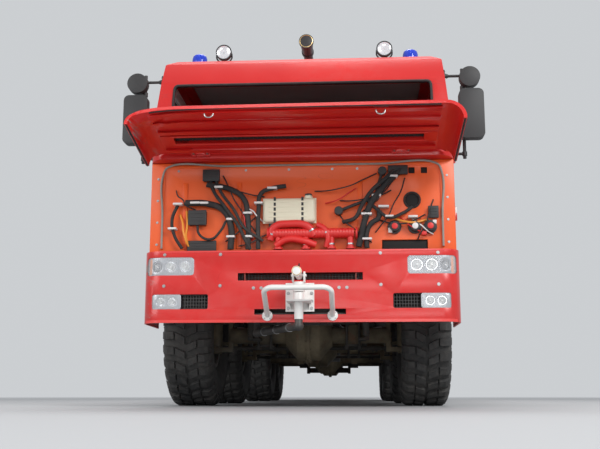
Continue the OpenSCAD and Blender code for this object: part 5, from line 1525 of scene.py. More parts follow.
# %% Beacons and floodlights
domes, bases, works, shells, bowls_up, covers = [], [], [], [], [], []
for x in (-0.930, 0.930):
    bases.append(disc(at(x, 0.620, 2.9305), UP, [(0, 0.085), (0.018, 0.085), (0.0295, 0.076)], 40))
    bases.append(hoop(at(x, 0.620, 2.9600), UP,
                      [(0.0, 0.064), (0.0, 0.0775), (0.008, 0.0775), (0.008, 0.064)]))
    domes.append(disc(at(x, 0.620, 2.9605), UP,
                      [(0, 0.0675), (0.006, 0.068), (0.060, 0.0665), (0.084, 0.060),
                       (0.097, 0.045), (0.1025, 0.024), (0.104, 0.0005)], 40))
    works.append(dish(at(x, 0.590, 3.005), ALONG,
                      [(0.0, 0.034), (0.016, 0.026), (0.024, 0.012), (0.026, 0.0005)], 24))
    works.append(disc(at(x, 0.620, 2.962), UP, [(0, 0.016), (0.028, 0.014), (0.036, 0.010)], 16))
for x in (-0.700, 0.700):
    shells.append(disc(at(x, 0.5145, 3.040), ALONG,
                       [(0, 0.0695), (0.030, 0.068), (0.066, 0.052), (0.082, 0.030),
                        (0.0855, 0.0005)], 36))
    shells.append(hoop(at(x, 0.500, 3.040), ALONG,
                       [(0.0, 0.060), (0.0, 0.0695), (0.018, 0.0695), (0.018, 0.060)], 36))
    fork = [(-0.0665, 0.540, 3.040), (-0.062, 0.548, 2.992), (0, 0.556, 2.958),
            (0.062, 0.548, 2.992), (0.0665, 0.540, 3.040)]
    shells.append(tube([at(x + d, s, z) for d, s, z in fork], 0.007, 8))
    shells.append(disc(at(x, 0.556, 2.9305), UP,
                       [(0, 0.030), (0.006, 0.030), (0.008, 0.014), (0.030, 0.013)], 20))
    bowls_up.append(dish(at(x, 0.505, 3.040), ALONG,
                         [(0.0, 0.061), (0.003, 0.058), (0.0085, 0.030), (0.0092, 0.004)], 32))
    covers.append(disc(at(x, 0.5008, 3.040), ALONG, [(0, 0.0598), (0.0022, 0.0600)], 32))
add("beacon_domes", domes, "blue", stands_for=["roof_lamps"])
add("beacon_bases", bases, "plastic")
add("beacon_works", works, "chrome")
add("flood_shells", shells, "black")
add("flood_bowls", bowls_up, "chrome")
add("flood_lenses", covers, "lens")

# %% Roof monitor: flange, cradle, muzzle and shield
bolts("monitor_flange_bolts", circle(at(0, 2.000, 2.9905), 0.145, 12), UP, 0.010)
bolts("monitor_turret_bolts", circle(at(0, 2.000, 3.2205), 0.086, 8, start=0.39), UP, 0.007,
      body="roof_monitor")
cradle = [disc(at(e * 0.0955, 2.000, 3.300), (e, 0, 0),
               [(0, 0.040), (0.004, 0.040), (0.007, 0.030)], 28)
          for e in (-1, 1)]
shoe = mesh_of(spun([(-0.009, 0.088), (0.009, 0.088), (0.009, 0.1025), (-0.009, 0.1025)], 40))
cradle.append(moved(shoe, at(0, 2.000, 3.150), (math.pi / 2, "Y")))
add("monitor_cradle", cradle, "monitor", "roof_monitor")
fittings = [collar(at(0, s, 3.300), ALONG, r, w, t, 32) for s, r, w, t in (
    (1.960, 0.0445, 0.030, 0.010), (1.700, 0.0445, 0.016, 0.006), (1.450, 0.0445, 0.016, 0.006),
    (1.190, 0.0505, 0.030, 0.007), (0.932, 0.0615, 0.022, 0.0065))]
fittings += [tube([at(0.044, 1.905, 3.306), at(0.090, 1.940, 3.320),
                   at(0.118, 2.010, 3.326)], 0.009, 10),
             disc(at(0.118, 2.010, 3.326), (0.6, 0.8, 0.05),
                  [(0, 0.014), (0.020, 0.017), (0.040, 0.014)], 16)]
fittings += [slab(at(x - 0.004, 1.598, 3.236), at(x + 0.004, 1.6085, 3.364), 0.002)
             for x in (-0.13, -0.07, 0.07, 0.13)]
add("monitor_fittings", fittings, "monitor", "roof_barrel")
mouth = at(0, 0.920, 3.300)
add("monitor_mouth", dish(mouth, ALONG, [(0.0, 0.0615), (-0.0015, 0.056), (0.006, 0.050),
                                         (0.110, 0.038)]),
    "brass", "roof_barrel")
# A near-black disc closes the barrel behind its mouth: painted shade down the barrel.
back_of_bore = disc(mouth + Vector((0, 0.108, 0)), ALONG, [(0, 0.0385), (0.004, 0.0385)], 28)
add("monitor_throat_shade", back_of_bore, "black_and_painted_shade", "roof_barrel")

# %% [markdown]
# ## Cab sides
# Rubber lips line the wheel arches. The first arch is cut partly through the
# front door, so that part of its lip rides on the door.

# %% Arch lips, step treads and side lamps
ARCH_R = 0.769


def arch_lip(station, start, end, e=1):
    """Part of a lip round a cab arch, between two angles in degrees."""
    angles = [math.radians(start + (end - start) * i / 18) for i in range(19)]
    return tube([at(e * 1.221, station + ARCH_R * math.cos(a), HUB_Z + ARCH_R * math.sin(a))
                 for a in angles], 0.010, 8, 3)


add("cab_arch_lips", both([arch_lip(AXLES[0], 49.5, 87.8),
                           arch_lip(AXLES[1], 49.5, 130.5)]), "gasket")
for side, e in SIDES:
    add(f"door_arch_lip_{side}", arch_lip(AXLES[0], 90.2, 125.6, e), "gasket",
        f"front_door_{side}")
tread = []
for z in (0.5105, 0.8305):
    bar = slab(at(0.968, 2.172, z), at(1.217, 2.180, z + 0.0055), 0.0015, 1)
    tread.append(STEPPED.grow(bar, "dark", Count=15, Step=(0, 0.0262, 0)))
tread += [slab(at(1.2255, 2.165, z), at(1.2290, 2.545, z + 0.026), 0.001, 1)
          for z in (0.482, 0.802)]
add("step_treads", both(tread), "dark")
step_bolts = [at(1.2255, s, z) for s in (2.166, 2.544) for z in (0.70, 0.95, 1.15)]
bolts_each_side("step_bolts", step_bolts, 0.006)
side_lamps = [(CAB_X, s, z, 0.050, 0.020, 0.0150) for s, z in ((1.665, 1.900), (3.560, 1.300))]
side_lamps += [(BODY_X, s, 1.280, 0.045, 0.018, 0.0130) for s in (4.40, 5.55, 7.34, 9.85)]
markers, mounts = [], []
for x, s, z, long, high, deep in side_lamps:
    markers.append(slab(at(x + 0.0005, s - long, z - high),
                        at(x + deep, s + long, z + high), 0.005, 3))
    mounts.append(slab(at(x + 0.0002, s - long - 0.008, z - high - 0.007),
                       at(x + 0.0040, s + long + 0.008, z + high + 0.007), 0.003, 2))
add("side_markers", both(markers), "amber")
grab = [tube([at(1.2255, s, 1.62), at(1.262, s, 1.64), at(1.268, s, 1.70), at(1.268, s, 2.20),
              at(1.262, s, 2.26),
              at(skin_x(2.28), s, 2.28)], 0.0115, 10) for s in (1.480, 1.860)]
grab += [disc(at(skin_x(z) - 0.001, s, z), ACROSS,
              [(0, 0.022), (0.004, 0.022), (0.007, 0.014)], 20)
         for s in (1.480, 1.860) for z in (1.62, 2.28)]
add("marker_mounts_and_grab_rails", both(mounts + grab), "plastic")

# %% [markdown]
# ## Rear body
# Each shutter runs in a pair of channels under a drip rail, and closes on a
# bar with a lock. Rivets hold the skin to the frame along its edges.

# %% Shutter channels, locks, rivets and lockers
SHUTTERS = [(4.30, 5.50), (5.60, 6.50), (8.90, 9.65)]
SHUTTER_Z, DRIP_Z = (1.4515, 2.5585), 2.5700
channels, rails, straps = [], [], []
for start, end in SHUTTERS:
    for s in (start + 0.001, end - 0.019):
        channels.append(slab(at(1.2045, s, SHUTTER_Z[0]),
                             at(1.2515, s + 0.018, SHUTTER_Z[1]), 0.003))
    channels += [slab(at(1.2045, start + 0.02, SHUTTER_Z[0]),
                      at(1.2400, end - 0.02, 1.4800), 0.003),
                 slab(at(1.2130, start + 0.02, 2.4900),
                      at(1.2400, end - 0.02, SHUTTER_Z[1]), 0.008, 3)]
    rails += [slab(at(1.2495, start - 0.04, DRIP_Z),
                   at(1.2680, end + 0.04, DRIP_Z + 0.006), 0.002),
              slab(at(1.2495, start - 0.04, DRIP_Z),
                   at(1.2530, end + 0.04, DRIP_Z + 0.026), 0.002)]
    middle = (start + end) / 2
    straps.append(slab(at(1.2345, middle - 0.050, 1.482),
                       at(1.2440, middle + 0.050, 1.512), 0.004))
    straps.append(disc(at(1.2440, middle, 1.497), ACROSS,
                       [(0, 0.013), (0.005, 0.012), (0.006, 0.0005)], 20))
add("shutter_channels", both(channels), "slat")
add("drip_rails", both(rails), "slat")
add("shutter_locks", both(straps), "plastic")
seams = [at(1.2502, s, z) for z in (1.222, 2.728) for s in [4.20 + 0.10 * i for i in range(60)]
         if not (z < 1.3 and (6.05 < s < 8.62))]
seams += [at(1.2502, s, 1.50 + 0.10 * i) for s in (4.225, 5.55, 6.555, 8.845, 9.705, 10.10)
          for i in range(12)]
bolts_each_side("skin_rivets", seams, 0.0042, "body", 0.0025)
catches = []
for start, end in ((4.195, 4.925), (4.945, 5.285), (5.305, 5.695)):
    middle = (start + end) / 2
    catches += [slab(at(1.2352, middle - 0.030, 1.040),
                     at(1.2470, middle + 0.030, 1.112), 0.004, 3),
                slab(at(1.2440, middle - 0.012, 1.030),
                     at(1.2520, middle + 0.012, 1.085), 0.003, 3)]
    catches += [tube([at(1.2395, s - 0.035, 0.815), at(1.2395, s + 0.035, 0.815)], 0.007, 10)
                for s in (start + 0.09, end - 0.09)]
add("locker_catches", both(catches), "plastic")
flaps = [slab(at(0.830, 8.800, 0.440), at(1.240, 8.808, 1.196), 0.003),
         slab(at(0.820, 8.790, 1.160), at(1.246, 8.800, 1.2005), 0.003),
         slab(at(0.826, 8.808, 1.165), at(1.244, 8.812, 1.195), 0.001)]
flaps += [slab(at(x, 8.808, 0.460), at(x + 0.012, 8.812, 1.150), 0.0015)
          for x in (0.87, 0.96, 1.05, 1.14)]
add("mud_flaps", both(flaps), "gasket")

# %% Roof: tread studs, hatch hinges, fillers and stacks
stud = slab((-0.012, -0.004, 0), (0.012, 0.004, 0.0027), 0)
for vert in stud.vertices:
    if vert.co.z > 0.001:
        vert.co.x, vert.co.y = vert.co.x * 0.86, vert.co.y * 0.6
row = STEPPED.grow(moved(stud, (0.462, 0, 2.8503)), "body", Count=13, Step=(0.040, 0, 0))
row.transform(Matrix.Translation(at(0, 4.40, 0)))
walk = STEPPED.grow(row, "body", Count=110, Step=(0, 0.050, 0))
add("roof_treads", both([walk]), "body")
hatch = []
for middle in (5.05, 7.15):
    hatch += [tube([at(x - 0.05, middle - 0.395, 2.918), at(x + 0.05, middle - 0.395, 2.918)],
                   0.009, 10) for x in (-0.28, 0.28)]
    hatch += [slab(at(x - 0.045, middle - 0.395, 2.9105), at(x + 0.045, middle - 0.330, 2.9160),
                   0.002) for x in (-0.28, 0.28)]
    handle = [(-0.07, 2.910), (-0.07, 2.942), (0.07, 2.942), (0.07, 2.910)]
    hatch.append(tube([at(x, middle + 0.345, z) for x, z in handle], 0.008, 8))
for x in (-0.300, 0.300):
    top = at(x, 8.350, 2.9405)
    hatch += [disc(top, UP, [(0, 0.112), (0.012, 0.110), (0.018, 0.095), (0.019, 0.0005)], 40),
              slab(top + Vector((-0.075, -0.012, 0.018)),
                   top + Vector((0.075, 0.012, 0.034)), 0.006, 3)]
    hatch += [disc(p, UP, [(0, 0.012), (0.030, 0.012), (0.036, 0.007)], 12)
              for p in circle(top - Vector((0, 0, 0.02)), 0.126, 4)]
add("roof_hardware", hatch, "dark")
MAST_S = 3.985
ring = disc(at(0.900, MAST_S, 2.935), UP, [(0, 0.0625), (0.010, 0.0675), (0.011, 0.0625)], 32)
stack = [STEPPED.grow(ring, "black", Count=13, Step=(0, 0, 0.0180)),
         disc(at(0.900, MAST_S, 3.1795), UP, [(0, 0.074), (0.010, 0.074), (0.028, 0.040),
                                              (0.032, 0.0005)], 32)]
stack += [collar(at(x, MAST_S, z), UP, r, 0.026, 0.005, 32) for x, z, r in
          ((0.900, 2.10, 0.0485), (0.900, 2.60, 0.0485), (-0.900, 2.15, 0.1005),
           (-0.900, 2.62, 0.1005))]
add("stack_rings", stack, "black")
# A near-black disc at the stack's top: soot, with painted shade down the pipe.
add("exhaust_soot_and_shade", [disc(at(-0.900, MAST_S, 2.9195), UP, [(0, 0.112), (0.0015, 0.112)],
                           32)], "black_and_painted_shade")
rim = hoop(at(-0.900, MAST_S, 2.9195), UP, [(0.0, 0.112), (0.0, 0.139), (0.008, 0.136),
                                            (0.008, 0.116)])
add("exhaust_rim", rim, "steel")

# %% [markdown]
# ## Rear end
# Tail lamps with three glasses each, a blank plate, the pump's gauges and
# capped outlets behind the rear door, and the ladder's clamps.

# %% Tail lamps, plate, door edge and ladder
BODY_END = 10.150
glasses = {"lens": (0.908, 0.985), "tail": (0.990, 1.088), "amber": (1.093, 1.172)}
for key, (start, end) in glasses.items():
    add("tail_lamp_" + key, both([slab(at(start, 10.2395, 0.908), at(end, 10.2520, 1.032),
                                       0.008, 3)]), key)
REFLEX = [(0, 0.034), (0.008, 0.034), (0.0100, 0.030), (0.0102, 0.0005)]
reflex = [disc(at(x, BODY_END + 0.0005, 1.262), ALONG, REFLEX, 24) for x in (0.62, 1.12)]
add("rear_reflectors", both(reflex), "tail")
add("blank_plate", [slab(at(-0.260, BODY_END + 0.0005, 1.225), at(0.260, BODY_END + 0.004, 1.337),
                         0.0015, 2)], "clip")
around = rounded_loop(upright(-0.853, 0.853, 1.367, 2.603), 0.03)
add("bay_rubber", tube([at(p.x, BODY_END + 0.001, p.z) for p in around], 0.006, 8,
                       cyclic=True), "gasket")
pull = [slab(at(x - 0.035, BODY_END + 0.0005, 1.470), at(x + 0.035, BODY_END + 0.008, 1.560),
             0.004, 3) for x in (-0.52, 0.52)]
PULL = [(0.006, 1.482), (0.030, 1.492), (0.030, 1.538), (0.006, 1.548)]
pull += [tube([at(x, BODY_END + d, z) for d, z in PULL], 0.006, 8) for x in (-0.52, 0.52)]
add("rear_door_locks", pull, "plastic", "rear_door")
stiff = [slab(at(-0.80, BODY_END - 0.052, z), at(0.80, BODY_END - 0.0395, z + 0.03), 0.004, 3)
         for z in (1.60, 1.95, 2.30)]
add("rear_door_stiffeners", stiff, "red", "rear_door")
RUNG_S, RUNGS = BODY_END + 0.070, [1.40 + 0.28 * i for i in range(5)]
grips = [collar(at(x, RUNG_S, z), ACROSS, 0.0135, 0.022, 0.003) for x in (0.968, 1.172)
         for z in RUNGS]
grips += [collar(at(1.070, RUNG_S, z), ACROSS, 0.0132, 0.130, 0.0022) for z in RUNGS]
grips += [disc(at(x, BODY_END + 0.0005, z), ALONG, [(0, 0.026), (0.005, 0.026), (0.008, 0.015)],
               20) for x in (0.940, 1.200) for z in (1.340, 2.700)]
add("ladder_grips", grips, "black")

# %% Pump panel
PANEL_S = 9.160
OUTLET_CAP = [(0, 0.0625), (0.006, 0.066), (0.030, 0.066), (0.036, 0.058), (0.038, 0.0005)]
dials, needles, rings, caps, wheels = [], [], [], [], []
for x in (-0.480, -0.240, 0.240, 0.480):
    face = at(x, PANEL_S + 0.0305, 2.180)
    dials.append(disc(face, ALONG, [(0, 0.048), (0.0015, 0.048)], 36))
    rings.append(hoop(face, ALONG, [(0.0, 0.048), (0.0, 0.0545), (0.009, 0.0545),
                                    (0.009, 0.048)], 36))
    tick = slab((0.036, -0.0010, -0.0012), (0.045, 0.0010, 0.0012), 0.0003, 1)
    tick.transform(Matrix.Rotation(math.pi / 2, 4, "Y"))
    ticks = TURNED.grow(tick, "black_and_painted_shade", Count=12)
    ticks.transform(Matrix.Rotation(math.pi / 2, 4, "Z"))
    needle = slab((-0.0018, 0, -0.008), (0.0018, 0.0012, 0.034), 0.0004, 1)
    needles += [moved(ticks, face + Vector((0, 0.0022, 0))),
                moved(needle, face + Vector((0, 0.0030, 0)), (x * 2.1, "Y"))]
    mouth = at(x, PANEL_S + 0.1705, 1.900)
    caps.append(disc(mouth - Vector((0, 0.028, 0)), ALONG, OUTLET_CAP, 36))
    caps += [slab(mouth + Vector((ear - 0.010, -0.024, -0.012)),
                  mouth + Vector((ear + 0.010, -0.002, 0.012)),
                  0.004, 3) for ear in (-0.062, 0.062)]
    wheels.append(collar(at(x + 0.085, PANEL_S + 0.060, 2.030), ALONG, 0.036, 0.012, 0.011, 32))
    wheels += [disc(at(x + 0.085, PANEL_S, 2.030), ALONG,
                    [(0, 0.016), (0.010, 0.012), (0.064, 0.010)], 16),
               slab(at(x + 0.047, PANEL_S + 0.056, 2.0265),
                    at(x + 0.123, PANEL_S + 0.064, 2.0335), 0.002)]
add("gauge_faces", dials, "clip")
add("gauge_marks", needles, "black_and_painted_shade")
add("gauge_rings", rings, "steel")
add("outlet_caps", caps, "black")
add("valve_wheels", wheels, "red edge")
flange = [at(x, PANEL_S + 0.0005, z) for x in (-0.595, 0.595) for z in (1.73, 1.93, 2.12, 2.32)]
bolts("panel_screws", flange, ALONG, 0.007)
bolts_each_side("pump_bolts", circle(at(0.4545, 9.560, 1.600), 0.205, 12, "yz"), 0.010)

# %% [markdown]
# ## Under the truck
# From floor level the front axle is in full view: bolted differential rings,
# kingpin caps, U-bolt nuts, dampers, bump stops and air hoses.

# %% Axles: rings, caps, nuts and dampers
BRAKE_HOSE = [(0.437, 0.200, 0.985), (0.500, 0.215, 0.960), (0.560, 0.170, 0.830),
              (0.600, 0.060, 0.745), (0.600, 0, 0.706)]
DAMPER_ROD = [(0.02, 0.024), (0.03, 0.030), (0.24, 0.030), (0.245, 0.012), (0.30, 0.012)]
DAMPER_TUBE = [(0.22, 0.037), (0.40, 0.037), (0.41, 0.018), (0.43, 0.016)]
OIL_PLUG = [(0, 0.030), (0.010, 0.030), (0.012, 0.018), (0.026, 0.018)]
KINGPIN_CAP = [(0.0005, 0.0235), (0.0005, 0.0575), (0.007, 0.0575), (0.010, 0.0540),
               (0.010, 0.0235)]
rings, caps_up, hoses, dampers = [], [], [], []
for station in AXLES:
    rings.append(collar(at(0, station, HUB_Z), ACROSS, 0.228, 0.028, 0.024, 48))
    for e in (-1, 1):
        rings.append(disc(at(e * 0.1300, station, HUB_Z + 0.1620), (e * 0.75, 0, 0.66),
                          [(0, 0.022), (0.016, 0.020)], 6))
    rings.append(disc(at(0.0, station - 0.10, HUB_Z - 0.2060), (0, -0.44, -0.9), OIL_PLUG, 6))
ring_bolts = [p for station in AXLES for p in circle(at(0.0145, station, HUB_Z), 0.2405, 20, "yz")]
bolts_each_side("axle_ring_bolts", ring_bolts, 0.0085, "iron")
for station in AXLES[:2]:
    for x in (-0.860, 0.860):
        for z, up in ((HUB_Z + 0.150, 1), (HUB_Z - 0.150, -1)):
            cap = mesh_of(spun(KINGPIN_CAP, 32))
            cap.transform(Vector((0, 0, up)).to_track_quat("X", "Y").to_matrix().to_4x4())
            caps_up.append(moved(cap, at(x, station, z)))
    for e in (-1, 1):
        lower, upper = at(e * 0.520, station - 0.165, 0.600), at(e * 0.500, station - 0.290, 1.030)
        along = upper - lower
        dampers += [disc(lower, along, DAMPER_ROD, 24), disc(lower, along, DAMPER_TUBE, 24)]
        dampers += [disc(end - Vector((0.024, 0, 0)), ACROSS, [(0, 0.026), (0.048, 0.026)], 20)
                    for end in (lower, upper)]
        foot, stop = e * 0.475, e * 0.395
        dampers += [slab(at(foot - 0.030, station - 0.20, 0.572),
                         at(foot + 0.045, station - 0.060, 0.598), 0.005),
                    slab(at(e * 0.440, station - 0.325, 0.990),
                         at(e * 0.485, station - 0.255, 1.075), 0.005),
                    slab(at(stop - 0.035, station - 0.05, 0.846),
                         at(stop + 0.035, station + 0.05, 0.902), 0.012, 3)]
        hoses.append(tube([at(e * x, station + s, z) for x, s, z in BRAKE_HOSE], 0.010, 10))
        hoses.append(disc(at(e * 0.600, station, 0.700), UP,
                          [(0, 0.020), (0.016, 0.018), (0.030, 0.013)], 6))
        hoses.append(disc(at(e * 0.4355, station + 0.198, 0.986), (e, 0, 0),
                          [(0, 0.018), (0.010, 0.016), (0.022, 0.013)], 6))
add("axle_rings", rings, "iron")
add("kingpin_caps", caps_up, "iron")
add("dampers", dampers, "spring")
add("brake_hoses", hoses, "hose")
for end, facing in (("low", -1), ("top", 1)):
    cap_bolts = [p for station in AXLES[:2] for x in (-0.860, 0.860)
                 for p in circle(at(x, station, HUB_Z + facing * 0.1605), 0.045, 6)]
    bolts("kingpin_bolts_" + end, cap_bolts, (0, 0, facing), 0.006, "iron")
u_nuts = [at(e * x, station + s, 0.5275) for station in AXLES[:2] for e in (-1, 1)
          for x in (0.343, 0.457) for s in (-0.090, 0.090)]
bolts("u_bolt_nuts", u_nuts, DOWN, 0.019, "spring", 0.020)
BAR = [(-0.66, 0.700), (-0.30, 0.706), (-0.262, 0.790), (-0.12, 0.872)]
BAR += [(-x, z) for x, z in reversed(BAR)]
bars = [tube([at(x, station - 0.030, z) for x, z in BAR], 0.005, 8) for station in AXLES[:2]]
add("axle_pipes", bars, "steel")

# %% Tie rods, knuckles and wheel hubs
for axle, station in enumerate(AXLES[:2], 1):
    sleeves = [collar(at(x, station + 0.260, 0.5257), ACROSS, 0.0182, 0.060, 0.006, 24)
               for x in (-0.600, 0.600)]
    sleeves += [slab(at(x - 0.007, station + 0.255, 0.488), at(x + 0.007, station + 0.265, 0.506),
                     0.002) for x in (-0.618, -0.582, 0.582, 0.618)]
    sleeves += [disc(at(x, station + 0.260, 0.4815), UP, [(0, 0.018), (0.014, 0.022)], 20)
                for x in (-0.720, 0.720)]
    add(f"tie_rod_clamps_{axle}", sleeves, "spring", f"tie_rod_{axle}")
    for side, e in SIDES:
        plate_bolts = circle(at(e * 0.9295, station, HUB_Z), 0.150, 12, "yz")
        bolts(f"brake_plate_bolts_{axle}_{side}", plate_bolts, (-e, 0, 0), 0.008,
              body=f"steer_{axle}_{side}")
        pipe = [at(e * x, station + s, z) for x, s, z in (
            (0.925, -0.10, 0.72), (0.905, -0.10, 0.75), (0.900, -0.02, 0.79), (0.905, 0.06, 0.75),
            (0.928, 0.08, 0.73))]
        add(f"brake_pipe_{axle}_{side}", tube(pipe, 0.006, 8), "steel", f"steer_{axle}_{side}")

# %% Frame bolts, shaft joints, sumps, exhaust pipe and the body's pads
web = [at(0.4352, s, z) for s in [0.26, 0.55, 0.95, 1.95, 2.35, 3.05, 4.25, 4.60, 5.80, 6.10,
                                  7.30, 8.30, 8.90, 9.85]
       for z in (0.945, 1.005, 1.055, 1.110)]
web += [at(0.4352, s + d, z) for s in (4.40, 5.40, 6.40, 7.34, 8.60, 9.60) for d in (-0.05, 0.05)
        for z in (1.175, 1.230)]
bolts_each_side("frame_bolts", web, 0.010)
SHAFTS = [(2.850, 4.480, 0.915), (1.665, 3.035, HUB_Z), (3.605, 4.480, HUB_Z),
          (4.960, 6.335, HUB_Z), (6.905, 7.775, HUB_Z)]
CROSS_ARM = [(0, 0.016), (0.006, 0.019), (0.106, 0.019), (0.112, 0.016)]
joints, flange_bolts = [], []
for start, end, z in SHAFTS:
    for s, e in ((start, 1), (end, -1)):
        centre = at(0, s + e * 0.085, z)
        joints += [disc(centre - 0.056 * Vector(axis), axis, CROSS_ARM, 16)
                   for axis in (ACROSS, UP)]
        joints += [slab(centre + Vector((x - 0.014, min(0, -e * 0.050), -0.024)),
                        centre + Vector((x + 0.014, max(0, -e * 0.050), 0.024)), 0.008, 3)
                   for x in (-0.045, 0.045)]
        flange_bolts += circle(at(0, s + e * 0.0405, z), 0.0455, 6, "xz", 0.5)
add("shaft_joints", joints, "spring")
bolts("shaft_bolts", flange_bolts, ALONG, 0.0055)
under = []
for sump, flange, bottom in (((0.760, 1.095), (0.740, 1.110), 0.795),
                             ((1.670, 1.960), (1.650, 1.980), 0.820)):
    under += [slab(at(-0.215, sump[0], bottom), at(0.215, sump[1], 0.905), 0.025, 4),
              slab(at(-0.245, flange[0], 0.890), at(0.245, flange[1], 0.902), 0.003)]
under += [STEPPED.grow(slab(at(x - 0.002, 0.80, 0.93), at(x + 0.002, 0.84, 1.31), 0.001, 1),
                       "engine", Count=12, Step=(0, 0.095, 0)) for x in (-0.320, 0.320)]
under += [disc(at(e * 0.330, 1.92 - 0.22 * i, 1.235), (e, 0, 0),
               [(-0.012, 0.044), (0.020, 0.044), (0.030, 0.036)], 24) for e in (-1, 1)
               for i in range(4)]
under += [disc(at(0.19, 0.7195, z), AHEAD,
               [(0, r), (0.030, r), (0.034, r * 0.6), (0.036, r * 0.3)], 32)
          for z, r in ((1.00, 0.075), (1.22, 0.055))]
under += [disc(at(-0.12, 0.7195, 1.10), AHEAD, [(0, 0.100), (0.024, 0.100), (0.030, 0.060)], 36)]
add("engine_parts", under, "engine")
pan = [at(x, s, 0.8895) for s in (0.75, 0.86, 0.99, 1.10) for x in (-0.232, 0.232)]
bolts("sump_bolts", pan, DOWN, 0.007)
EXHAUST = [(-0.318, 1.780, 1.250), (-0.440, 1.900, 1.275), (-0.530, 2.200, 1.285),
           (-0.545, 3.000, 1.285), (-0.555, 3.600, 1.290),
           (-0.620, 3.780, 1.340), (-0.700, 3.885, 1.400)]
exhaust = tube([at(*place) for place in EXHAUST], 0.050, 24)
add("exhaust_pipe", [exhaust] + [collar(at(-0.540, s, 1.285), ALONG, 0.0505, 0.030, 0.006, 32)
                                 for s in (2.40, 2.90, 3.40)], "rusty")
pads = [slab(at(e * 0.405 - 0.042, s - 0.075, 1.316), at(e * 0.405 + 0.042, s + 0.075, 1.3235),
             0.002) for e in (-1, 1) for s in (5.2, 7.34, 9.2)]
add("body_pads", pads, "gasket")

# %% [markdown]
# ## Seats
# A seat cushion is foam in a sewn cover: crowned, tight at its seams and flat
# below. Each pad starts as a block a little under size, which a short cloth
# simulation with inner pressure swells; its sewn channels are pressed in after.

# %% Pads
PRESSURE, FRAMES = 4.0, 20
SWELL, VOXEL = 0.012, 0.011


def swollen(mesh):
    """The mesh blown up by cloth pressure, no point moved more than SWELL."""
    before = [vert.co.copy() for vert in mesh.vertices]
    holder = linked("pad", mesh)
    cloth = holder.modifiers.new("cloth", "CLOTH")
    cloth.settings.use_pressure = True
    cloth.settings.uniform_pressure_force = PRESSURE
    cloth.settings.effector_weights.gravity = 0
    cloth.point_cache.frame_start, cloth.point_cache.frame_end = 1, FRAMES
    for frame_number in range(1, FRAMES + 1):
        bpy.context.scene.frame_set(frame_number)
    result = read_back(holder)
    bpy.context.scene.frame_set(1)
    for vert, old in zip(result.vertices, before):
        step = vert.co - old
        if step.length > SWELL:
            vert.co = old + step * (SWELL / step.length)
    return result


def pad(width, length, height, channels, cross=()):
    """A pad about the origin, its top up, with channels along and across it."""
    block = slab((-width / 2, -length / 2, -height / 2),
                 (width / 2, length / 2, height / 2), 0.030, 4)
    mesh = swollen(modified(block, "REMESH", mode="VOXEL", voxel_size=VOXEL))
    limit = height / 2 + 0.004
    for vert in mesh.vertices:
        up = max(0.0, min(1.0, vert.co.z / (height / 2)))
        sink = sum(math.exp(-((vert.co.x - c) / 0.007) ** 2) for c in channels)
        sink += sum(math.exp(-((vert.co.y - c) / 0.007) ** 2) for c in cross)
        crown = (1 - (2 * vert.co.x / width) ** 2) * (1 - (2 * vert.co.y / length) ** 2)
        vert.co.z += up * (0.006 * max(0.0, crown) - 0.008 * min(1.0, sink))
        vert.co.z = max(-limit, vert.co.z)
    return mesh


def welt(width, length, height):
    """The piping sewn round a pad's upper edge."""
    x, y = width / 2 - 0.002, length / 2 - 0.002
    corners = [(-x, -y, height), (x, -y, height), (x, y, height), (-x, y, height)]
    return tube(rounded_loop(corners, 0.05), 0.0042, 8, cyclic=True)


FRONT_CUSHION = pad(0.452, 0.430, 0.096, (-0.11, 0.0, 0.11), (0.14,))
FRONT_BACK = pad(0.452, 0.590, 0.086, (-0.11, 0.0, 0.11), (0.19,))
BENCH_CUSHION = pad(0.640, 0.430, 0.096, (-0.16, 0.0, 0.16))
BENCH_BACK = pad(0.640, 0.590, 0.086, (-0.16, 0.0, 0.16), (0.19,))
FLOOR_Z = 1.450
LEAN = math.radians(6.7)
PLACES = [(side, e * 0.700, 1.250, FRONT_CUSHION, FRONT_BACK, 0.452) for side, e in SIDES]
PLACES += [(f"bench_{i + 1}", x, 3.200, BENCH_CUSHION, BENCH_BACK, 0.640)
           for i, x in enumerate((-0.666, 0.0, 0.666))]


def seated(mesh, x, s):
    """A cushion's mesh put on a seat."""
    return moved(mesh, at(x, s - 0.025, FLOOR_Z + 0.339))


def leaned(mesh, x, s):
    """A back's mesh stood up behind a seat."""
    return moved(mesh, at(x, s + 0.302, FLOOR_Z + 0.612), (math.pi / 2 - LEAN, "X"))


for name, x, s, cushion, back, width in PLACES:
    for part, mesh in (("cushion", seated(cushion.copy(), x, s)),
                       ("back", leaned(back.copy(), x, s))):
        piece = add(f"seat_{part}_{name}", mesh, "cloth", angle=60)
    add(f"seat_piping_{name}", [seated(welt(width, 0.430, 0.034), x, s),
                                leaned(welt(width, 0.590, 0.030), x, s)], "piping")
stands = []
for x, s, half in ((0.700, 1.250, 0.180), (-0.700, 1.250, 0.180), (0.0, 3.200, 0.940)):
    stands += [slab(at(x - half, s - 0.180, FLOOR_Z + 0.030),
                    at(x + half, s + 0.180, FLOOR_Z + 0.262), 0.018, 4),
               slab(at(x - half - 0.035, s - 0.215, FLOOR_Z + 0.262),
                    at(x + half + 0.035, s + 0.190, FLOOR_Z + 0.290), 0.008, 3),
               slab(at(x - half - 0.030, s + 0.330, FLOOR_Z + 0.300),
                    at(x + half + 0.030, s + 0.345, FLOOR_Z + 0.480), 0.006, 3)]
    stands += [slab(at(foot - 0.022, s - 0.225, FLOOR_Z),
                    at(foot + 0.022, s + 0.225, FLOOR_Z + 0.032), 0.005)
               for foot in (x - half * 0.8, x + half * 0.8)]
    stands += [tube([at(arm, s + d, FLOOR_Z + z)
                     for d, z in ((0.180, 0.275), (0.322, 0.300), (0.345, 0.420))],
                    0.014, 10) for arm in (x - half * 0.9, x + half * 0.9)]
add("seat_stands", stands, "black", stands_for=["seats"])
